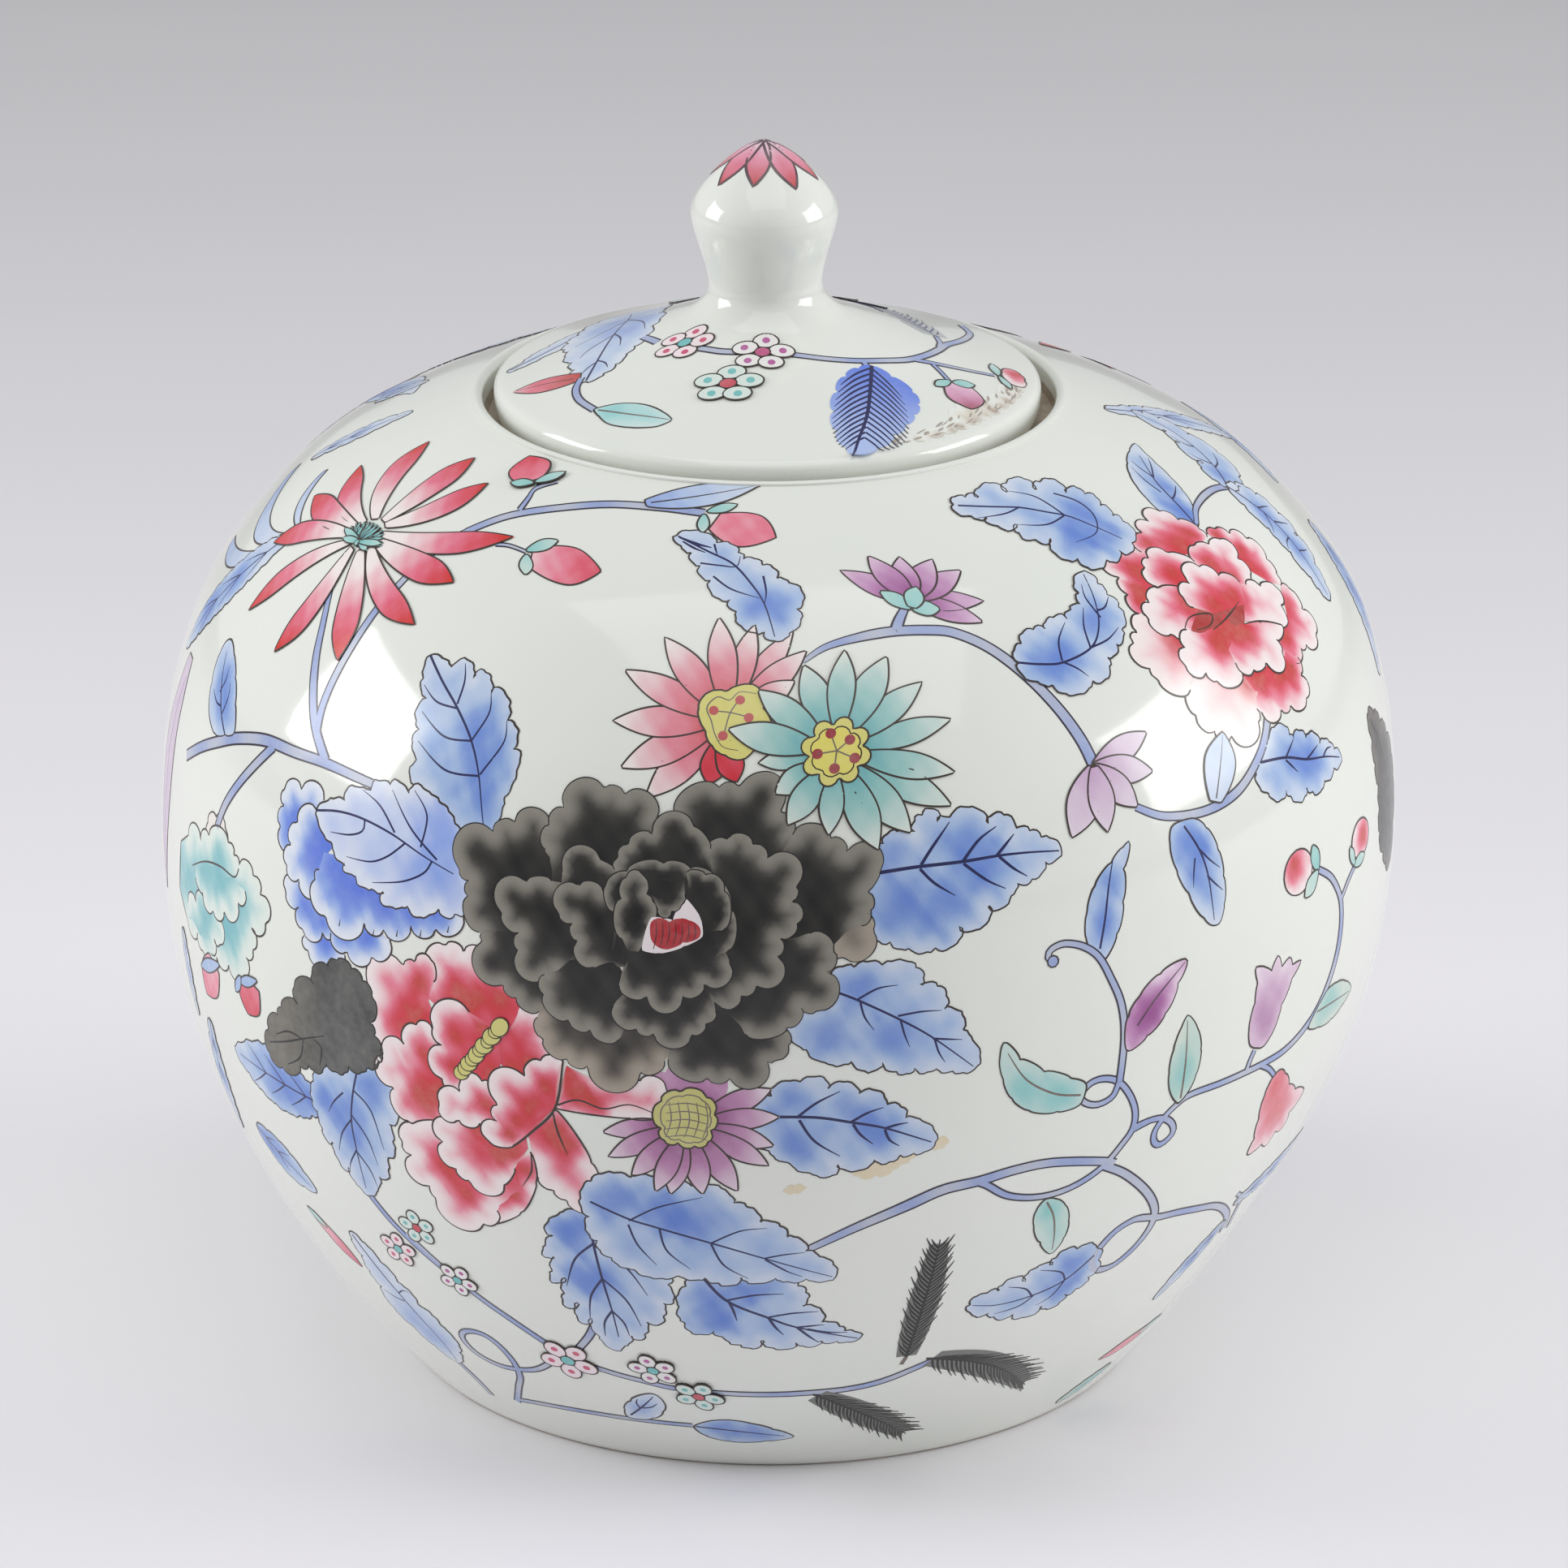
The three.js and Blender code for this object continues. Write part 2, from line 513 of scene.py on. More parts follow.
# ---- turned skins ----------------------------------------------------------------------
def turned(name, body, rings, offsets, slots, materials, facets):
    """Turns an outline that starts and ends on the axis, with a sideways offset per ring."""
    angles = np.linspace(0, TAU, facets, endpoint=False)
    places, index, rows = [], 0, []
    for (radius, height), offset in zip(rings, offsets):
        if radius < 1e-6:
            places.append([[offset, 0, height]])
            rows.append([index] * facets)
            index += 1
        else:
            ring = np.stack(
                [radius * np.sin(angles) + offset, -radius * np.cos(angles),
                 np.full(facets, height)], 1,
            )
            places.append(ring)
            rows.append(list(range(index, index + facets)))
            index += facets
    faces, kinds = [], []
    for low, high, kind in zip(rows, rows[1:], slots):
        for k in range(facets):
            n = (k + 1) % facets
            corners = [low[k], low[n], high[n], high[k]]
            corners = list(dict.fromkeys(corners))
            faces.append(corners)
            kinds.append(kind)
    mesh = bpy.data.meshes.new(name)
    mesh.from_pydata((np.vstack(places) * MM).tolist(), [], faces)
    for material in materials:
        mesh.materials.append(material)
    mesh.polygons.foreach_set("material_index", np.array(kinds, np.int32))
    mesh.polygons.foreach_set("use_smooth", np.ones(len(faces), bool))
    mesh.set_sharp_from_angle(angle=SKIN_CREASE)
    mesh.update()
    return placed(name, mesh, body)


# ---- materials -------------------------------------------------------------------------
class Nodes:
    """A short way to write a node tree."""

    def __init__(self, name):
        self.material = bpy.data.materials.new(name)
        self.material.use_nodes = True
        self.tree = self.material.node_tree
        self.shader = self.tree.nodes["Principled BSDF"]
        coords = self.add("ShaderNodeTexCoord")
        self.place = coords.outputs["Object"]

    def add(self, kind, **settings):
        """A new node with its settings."""
        node = self.tree.nodes.new(kind)
        for key, value in settings.items():
            setattr(node, key, value)
        return node

    def link(self, source, target):
        """Joins an output to an input."""
        self.tree.links.new(source, target)

    def noise(self, scale, detail=3.0, roughness=0.5):
        """Noise fixed to the piece."""
        node = self.add("ShaderNodeTexNoise")
        node.inputs["Scale"].default_value = scale
        node.inputs["Detail"].default_value = detail
        node.inputs["Roughness"].default_value = roughness
        self.link(self.place, node.inputs["Vector"])
        return node.outputs["Fac"]

    def ramp(self, source, low, high, start=0.0, stop=1.0):
        """Maps low..high to start..stop, clamped."""
        node = self.add("ShaderNodeMapRange")
        for key, value in zip(("From Min", "From Max", "To Min", "To Max"), (low, high, start, stop)):
            node.inputs[key].default_value = value
        self.link(source, node.inputs["Value"])
        return node.outputs["Result"]

    def math(self, operation, first, second):
        """The sum, difference or product of two values."""
        node = self.add("ShaderNodeMath", operation=operation)
        for socket, value in zip(node.inputs, (first, second)):
            if isinstance(value, (int, float)):
                socket.default_value = value
            else:
                self.link(value, socket)
        return node.outputs[0]

    def mix(self, share, first, second):
        """Blends two colours by share."""
        node = self.add("ShaderNodeMix", data_type="RGBA")
        for name, value in (("Factor", share), ("A", first), ("B", second)):
            socket = [s for s in node.inputs if s.name == name and s.enabled][0]
            if isinstance(value, (int, float)):
                socket.default_value = value
            elif isinstance(value, np.ndarray):
                socket.default_value = (*value[:3], 1)
            else:
                self.link(value, socket)
        return [s for s in node.outputs if s.enabled][0]

    def bump(self, source, depth, strength=1.0, below=None):
        """A bump of depth millimetres, over another if given."""
        node = self.add("ShaderNodeBump")
        node.inputs["Strength"].default_value = strength
        node.inputs["Distance"].default_value = depth * MM
        self.link(source, node.inputs["Height"])
        if below is not None:
            self.link(below, node.inputs["Normal"])
        return node.outputs["Normal"]


def glaze_material(name, tint):
    """Greenish white porcelain glaze with faint mottling, pinholes and iron specks."""
    n = Nodes(name)
    mottle = n.noise(38, 4, 0.55)
    cloud = n.noise(9, 2, 0.5)
    colour = n.mix(n.ramp(cloud, 0.3, 0.7), tint * 0.965, tint)
    colour = n.mix(n.ramp(mottle, 0.35, 0.75, 0, 0.45), colour, tint * [0.93, 0.955, 0.94, 1])
    specks = n.add("ShaderNodeTexVoronoi")
    specks.inputs["Scale"].default_value = 95
    n.link(n.place, specks.inputs["Vector"])
    rare = n.noise(31, 1, 0.5)
    dots = n.math("MULTIPLY", n.ramp(specks.outputs["Distance"], 0.035, 0.02), n.ramp(rare, 0.66, 0.7))
    colour = n.mix(n.math("MULTIPLY", dots, 0.55), colour, srgb(120, 96, 70))
    n.link(colour, n.shader.inputs["Base Color"])
    n.link(n.ramp(n.noise(60, 3), 0.3, 0.7, 0.07, 0.13), n.shader.inputs["Roughness"])
    ripple = n.bump(n.noise(28, 2, 0.4), 0.22, 0.35)
    peel = n.bump(n.noise(330, 2, 0.5), 0.02, 0.35, ripple)
    n.link(peel, n.shader.inputs["Normal"])
    n.shader.inputs["IOR"].default_value = 1.52
    n.shader.inputs["Coat Weight"].default_value = 0.25
    n.shader.inputs["Coat Roughness"].default_value = 0.03
    return n.material


def biscuit_material():
    """Bare fired clay on the foot ring and the ledge, rubbed and a little dirty."""
    n = Nodes("bare_clay")
    grit = n.noise(700, 4, 0.6)
    dirt = n.noise(45, 4, 0.6)
    colour = n.mix(n.ramp(grit, 0.3, 0.7), srgb(196, 184, 166), srgb(222, 214, 200))
    colour = n.mix(n.ramp(dirt, 0.42, 0.72, 0, 0.7), colour, srgb(128, 104, 78))
    n.link(colour, n.shader.inputs["Base Color"])
    n.link(n.ramp(grit, 0.2, 0.8, 0.7, 0.95), n.shader.inputs["Roughness"])
    n.link(n.bump(grit, 0.12, 0.6), n.shader.inputs["Normal"])
    return n.material


def enamel_material(name, roughness, tint=GLAZE):
    """Overglaze enamel: the painted colour, thinned and pooled by the brush."""
    n = Nodes(name)
    paint = n.add("ShaderNodeAttribute", attribute_name="Enamel")
    brushed = n.noise(520, 3, 0.6)
    pooled = n.noise(120, 3, 0.5)
    thin = n.math("ADD", n.ramp(brushed, 0.3, 0.75, 0.0, 0.07), n.ramp(pooled, 0.35, 0.75, 0.0, 0.08))
    cover = n.math("SUBTRACT", paint.outputs["Alpha"], thin)
    colour = n.mix(cover, tint, paint.outputs["Color"])
    n.link(colour, n.shader.inputs["Base Color"])
    n.link(n.ramp(brushed, 0.2, 0.8, roughness * 0.75, roughness * 1.3), n.shader.inputs["Roughness"])
    n.link(n.bump(brushed, 0.03, 0.4), n.shader.inputs["Normal"])
    n.shader.inputs["IOR"].default_value = 1.5
    return n.material


jar_glaze = glaze_material("jar_glaze_clear", GLAZE)
bare_clay = biscuit_material()
enamel = enamel_material("enamel_gloss", 0.2)


# ---- pot -------------------------------------------------------------------------------
lip = arc(MOUTH_RADIUS + 1.4, LIP_TOP - 1.4, 1.4, 55, 180, 8)
lining = inside_of(WALL_LINE[::3], WALL_THICKNESS)
lining = lining[(lining[:, 1] > FLOOR_TOP + 4) & (lining[:, 1] < LEDGE_BOTTOM - 1)][::-1]
foot = [(0, FOOT_RECESS), (FOOT_INSIDE - 8, FOOT_RECESS), (FOOT_INSIDE - 3, FOOT_RECESS - 0.3),
        (FOOT_INSIDE - 1, 2.5), (FOOT_INSIDE, 0.4), (FOOT_INSIDE + 0.5, 0)]
ledge = [(MOUTH_RADIUS, 190.5), (MOUTH_RADIUS - 0.6, LEDGE_TOP), (LEDGE_BORE + 0.6, LEDGE_TOP),
    (LEDGE_BORE, LEDGE_TOP - 0.6), (LEDGE_BORE, LEDGE_BOTTOM + 0.6),
    (LEDGE_BORE + 0.6, LEDGE_BOTTOM), (58, LEDGE_BOTTOM - 1.2)]
inner_floor = [(lining[-1][0] - 2.5, FLOOR_TOP + 2), (lining[-1][0] - 9, FLOOR_TOP), (0, FLOOR_TOP)]
outer = np.vstack([[(FOOT_INSIDE + 7.5, 0)], [(71.9, 0.25)], WALL_LINE[1:]])
pot_rings = np.vstack([foot, outer, lip, ledge, lining, inner_floor])
bare = set(range(len(foot) - 3, len(foot) + 1))
first_ledge = len(foot) + len(outer) + len(lip)
bare |= set(range(first_ledge, first_ledge + 3))
pot_slots = [1 if k in bare else 0 for k in range(len(pot_rings) - 1)]
pot = turned(
    "pot_skin", "jar", pot_rings, pot_lean(pot_rings[:, 1]), pot_slots,
    [jar_glaze, bare_clay], POT_FACETS
)
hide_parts("jar_body")


# ---- lid and knob ----------------------------------------------------------------------
lid_edge = np.array([
    (LID_RADIUS - 2.2, LEDGE_TOP + 0.1), (LID_RADIUS - 0.9, LEDGE_TOP + 0.9),
    (LID_RADIUS - 0.3, LEDGE_TOP + 2.6), (LID_RADIUS - 0.02, LEDGE_TOP + 4.4),
    (LID_RADIUS, 194.7), (LID_RADIUS - 0.25, 195.6), (LID_RADIUS - 0.95, 196.4),
    (LID_RADIUS - 1.9, 196.85),
])
lid_edge = smooth_line(lid_edge, 3)
under_dome = inside_of(LID_LINE[UNDER_DOME], WALL_THICKNESS)
under_dome = under_dome[(under_dome[:, 0] > KNOB_ROOT) & (under_dome[:, 0] < FLANGE_INSIDE - 2)]
lid_rings = np.vstack([
    [(0, under_dome[-1][1] + 0.8)], under_dome[::-1],
    [(FLANGE_INSIDE, 192), (FLANGE_INSIDE, FLANGE_BOTTOM + 0.6),
     (FLANGE_INSIDE + 0.6, FLANGE_BOTTOM), (FLANGE_RADIUS - 0.6, FLANGE_BOTTOM),
     (FLANGE_RADIUS, FLANGE_BOTTOM + 0.6), (FLANGE_RADIUS, LEDGE_TOP + 0.1)],
    lid_edge, LID_LINE[:SEAT_RING + 1], [(0, KNOB_SEAT - 0.5)],
])
lid_lean = np.interp(lid_rings[:, 1], KNOB_LEAN_HEIGHTS, [LID_OFFSET, KNOB_OFFSET])
knob_rings = np.vstack([[(0, KNOB_SEAT)], LID_LINE[SEAT_RING:]])
knob_lean = np.interp(knob_rings[:, 1], KNOB_LEAN_HEIGHTS, [LID_OFFSET, KNOB_OFFSET])
first_flange = 1 + len(under_dome)
lid_slots = [
    1 if first_flange <= k < first_flange + 6 else 0 for k in range(len(lid_rings) - 1)
]
lid = turned(
    "lid_skin", "lid", lid_rings, lid_lean, lid_slots, [jar_glaze, bare_clay], LID_FACETS
)
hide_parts("lid_cover")
knob = turned(
    "knob_skin", "lid", knob_rings, knob_lean, [0] * (len(knob_rings) - 1), [jar_glaze], LID_FACETS
)
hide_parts("lid_knob")


# ---- motifs ----------------------------------------------------------------------------
# Every painting below is drawn in its own face's millimetres. A point's third value, where it
# has one, is the bulge of the edge that leaves it. Tones run from pale rim to deep pool.
SOOTY = (srgb(140, 136, 126, 1.12), srgb(60, 58, 54, 1.15), srgb(10, 10, 10, 1.2))
WARM_SOOT = (srgb(166, 156, 142, 1.1), srgb(106, 99, 90, 1.1), SOOT)
DEEP_PLUM = (srgb(212, 178, 208), srgb(146, 74, 140), srgb(70, 20, 66, 1.1))
ROSY = (srgb(240, 228, 228), srgb(228, 118, 142), srgb(206, 44, 58, 1.1))
LEAF_BLUE = (srgb(204, 214, 230), srgb(156, 182, 222), srgb(74, 114, 204, 1.1))
LEAF_PALE = (srgb(212, 220, 232), srgb(180, 198, 228), srgb(118, 148, 216))
LEAF_TEAL = (srgb(200, 218, 210), srgb(158, 206, 202), srgb(98, 184, 182))
LEAF_SOOT = (srgb(112, 108, 100, 1.1), srgb(66, 64, 60, 1.15), srgb(42, 41, 41, 1.2))
PLUMMY = (srgb(230, 208, 226), srgb(188, 132, 180), srgb(138, 58, 128, 1.1))


def blotches(spots, size):
    """Soft uneven pooling, 0 to 1, with patches about size across."""
    x, y = spots[:, 0] / size, spots[:, 1] / size
    waves = np.sin(2.1 * x + 1.3 * y) + np.sin(1.7 * y - 2.6 * x + 1) + np.sin(3.9 * x + 3.1 * y + 2)
    return 0.5 + waves / 6


def shaded(tones, share):
    """Runs through three tones as share goes from 0 to 1."""
    pale, middle, deep = tones
    share = np.clip(share, 0, 1)
    low = mixed(pale, middle, share * 2)
    return mixed(low, deep, np.clip(share * 2 - 1, 0, 1))


def edge_line(points, bulge, outward):
    """An open scalloped edge; outward is 1 or -1, the side that the scallops swell to."""
    spans = []
    for start, stop in zip(points, points[1:]):
        bow = start[2] if len(start) > 2 else bulge
        spans.append(bowed(start[:2], stop[:2], outward * bow)[:-1])
    return np.vstack([*spans, [points[-1][:2]]])


LARGE_LEAF_EDGE = 70
TOOTH_PITCH = 2.6
TOOTH_HEIGHT = 0.4
TOOTH_LEAN = 0.75


def toothed(edge, bulge):
    """A scalloped edge; on a large leaf it also has small saw teeth that lean along it."""
    line = scalloped(edge, bulge, 0.4)
    closed = np.vstack([line, line[:1]])
    run = run_of(closed)
    if run[-1] < LARGE_LEAF_EDGE:
        return line
    teeth = round(run[-1] / TOOTH_PITCH)
    share = (run[:-1] / run[-1] * teeth) % 1
    rise = np.where(share < TOOTH_LEAN, share / TOOTH_LEAN, (1 - share) / (1 - TOOTH_LEAN))
    along = np.roll(line, -1, axis=0) - np.roll(line, 1, axis=0)
    along = along / np.maximum(np.linalg.norm(along, axis=1), 1e-9)[:, None]
    outward = np.stack([-along[:, 1], along[:, 0]], 1) * swell_side(edge)
    return line + outward * (TOOTH_HEIGHT * rise)[:, None]


def pooled(spots, deep, weight, softness):
    """How deeply the paint has pooled around each (x, y, size) patch, 0 to 1."""
    clear = np.ones(len(spots))
    for x, y, size in deep:
        near = np.hypot(spots[:, 0] - x, spots[:, 1] - y) * (0.72 + 0.56 * blotches(spots, 2.6))
        clear = clear * (1 - weight * (1 - eased(near, 0, size * softness)))
    return 1 - clear


def petal(art, rim, back, tones=ROSY, depth=7.0, bulge=0.3, deep=(), ink=0.36, start=0.4, shade=INK):
    """A petal with a scalloped rim that pales outwards; back closes it under its neighbours."""
    side = swell_side([*rim, *back])
    line = edge_line(rim, bulge, side)
    edge = np.vstack([line, np.array(back, float).reshape(-1, 2)])

    def colour(spots):
        share = eased(gap_to(spots, line), start, depth)
        share = share * (0.86 + 0.28 * (blotches(spots, 3) - 0.5))
        pools = pooled(spots, deep, 0.9, 1.4)
        paint = shaded(tones, 1 - (1 - np.clip(share, 0, 1)) * (1 - pools))
        return mixed(paint, RUST, 0.75 * eased(pools, 0.62, 0.95)) if tones is ROSY else paint

    art.fill(edge, colour, 1.1)
    if ink:
        art.ink(line, ink, (0.8, 1, 0.7, 1, 0.6, 1, 0.8), shade, smooth=False)


def leaf(art, edge, veins=(), deep=(), tones=LEAF_BLUE, bulge=0.16, ink=0.36, vein=0.42, dark=NAVY):
    """A toothed leaf: edge points are its notches, veins are lines, deep are pooled patches."""
    line = toothed(edge, bulge)
    closed = np.vstack([line, line[:1]])

    def colour(spots):
        share = 0.08 + 0.34 * eased(gap_to(spots, closed), 0, 3.6) + 0.36 * (blotches(spots, 5) - 0.5)
        share = 1 - (1 - np.clip(share, 0, 1)) * (1 - pooled(spots, deep, 0.66, 1.7))
        return shaded(tones, share)

    art.fill(line, colour, 1.2)
    if ink:
        art.ink(closed, ink, (1, 0.7, 1, 0.6, 0.9, 0.7, 1), INK, smooth=False)
    for number, points in enumerate(veins):
        art.ink(points, vein, (1, 0.9, 0.4) if number == 0 else (0.9, 0.8, 0.25), dark)


def blade(art, base, tip, width, tones=ROSY, near=0.0, far=1.0, fullness=0.55, neck=0.2, ink=0.34,
        vein=0, bend=0.0, shade=INK):
    """A slim petal or plain leaf; near and far are how deep the tone is at its two ends."""
    edge = petal_edge(base, tip, width, fullness, neck)
    base, tip = np.array(base, float), np.array(tip, float)
    along = tip - base
    length = np.linalg.norm(along)
    side = np.array([-along[1], along[0]]) / length

    def bent(spots):
        share = np.clip(((spots - base) @ along) / length**2, 0, 1)
        return spots + side * (4 * bend * length * share * (1 - share))[:, None]

    edge = bent(edge)

    def colour(spots):
        share = np.clip(((spots - base) @ along) / length**2, 0, 1)
        return shaded(tones, near + (far - near) * share + 0.16 * (blotches(spots, 2.5) - 0.5))

    art.fill(edge, colour, 0.9)
    if ink:
        art.ink(np.vstack([edge, edge[:1]]), ink, (0.9, 0.8, 1, 0.9), shade, smooth=False)
    if vein:
        spine = bent(base + along * np.linspace(0.05, 0.95, 7)[:, None])
        art.ink(spine, vein, (1, 0.8, 0.3), shade)


def disc(art, centre, size, colour=YELLOW, ink=0.3, squash=1.0, turn=0.0, shade=INK):
    """A round or squashed dot with an ink rim."""
    angles = np.linspace(0, TAU, 22, endpoint=False)
    tilt = math.radians(turn)
    x, y = size * np.cos(angles), size * squash * np.sin(angles)
    edge = np.stack([x * math.cos(tilt) - y * math.sin(tilt), x * math.sin(tilt) + y * math.cos(tilt)], 1)
    edge = edge + centre
    art.fill(edge, colour, 0.9)
    if ink:
        art.ink(np.vstack([edge, edge[:2]]), ink, (1, 0.8, 1), shade, smooth=False)


def lobed(art, centre, size, lobes, bulge, colour, ink=0.34, turn=0.0):
    """A round eye with a scalloped rim."""
    angles = np.linspace(0, TAU, lobes, endpoint=False) + math.radians(turn)
    ring = [(centre[0] + size * math.cos(a), centre[1] + size * math.sin(a)) for a in angles]
    edge = scalloped(ring, bulge, 0.4)
    art.fill(edge, colour, 0.9)
    if ink:
        art.ink(np.vstack([edge, edge[:1]]), ink, (1, 0.8, 1), INK, smooth=False)


def around(centre, size, degrees):
    """A spot at a distance and compass-like angle from a centre, counter-clockwise from +x."""
    angle = math.radians(degrees)
    return (centre[0] + size * math.cos(angle), centre[1] + size * math.sin(angle))


def blossom(art, x, y, size=2.1, petals="pink", eye="teal", turn=90, squash=1.0):
    """A five-petalled plum blossom with a dot in every petal."""
    tints = {"pink": srgb(238, 222, 226), "teal": srgb(214, 226, 220), "white": srgb(232, 230, 228)}
    dots = {"pink": srgb(200, 70, 110), "teal": srgb(110, 186, 184), "white": srgb(176, 84, 150)}
    eyes = {"teal": TEAL, "red": srgb(196, 60, 80), "plum": srgb(190, 84, 130), "yellow": YELLOW}
    for k in range(5):
        out_x, out_y = around((0, 0), size, turn + 72 * k)
        lie = turn + 72 * k if squash > 0.9 else 0
        disc(art, (x + out_x, y + out_y * squash), size * 0.68, tints[petals], 0.3, 0.86 * squash,
            lie, INK)
        disc(art, (x + out_x * 1.05, y + out_y * 1.05 * squash), size * 0.2, dots[petals], 0)
    disc(art, (x, y), size * 0.42, eyes[eye], 0.26, squash)


def feather(art, base, tip, width, hairs=13, tint=SOOT, bend=0.0, cover=0.7):
    """A feathery leaf of fine slanting brush hairs on each side of a spine."""
    base, tip = np.array(base, float), np.array(tip, float)
    along = tip - base
    length = np.linalg.norm(along)
    side = np.array([-along[1], along[0]]) / length

    def spine(share):
        return base + along * share + side * 4 * bend * length * share * (1 - share)

    def reach_at(share):
        return width * 0.56 * math.sin(math.pi * min(1, 0.16 + 0.72 * share)) ** 0.7

    rows = np.linspace(0.02, 0.97, 14)
    flanks = [[spine(s) + side * way * reach_at(s) * 0.84 for s in rows] for way in (1, -1)]
    art.fill(np.vstack([flanks[0], flanks[1][::-1]])[::-1], mixed(GLAZE, tint, cover), 1.2)
    for k in range(hairs):
        share = 0.02 + 0.92 * k / (hairs - 1)
        reach = reach_at(share) * (0.9 + 0.22 * math.sin(2.3 * k))
        for way in (1, -1):
            start = spine(share)
            stop = start + along / length * reach * 1.5 + side * way * reach
            middle = (start + stop) / 2 + side * way * reach * 0.12
            art.ink([start, middle, stop], 0.46, (1, 0.9, 0.2), tint)
    art.ink([spine(s) for s in np.linspace(-0.02, 1, 7)], 0.5, (1, 0.9, 0.4), tint)


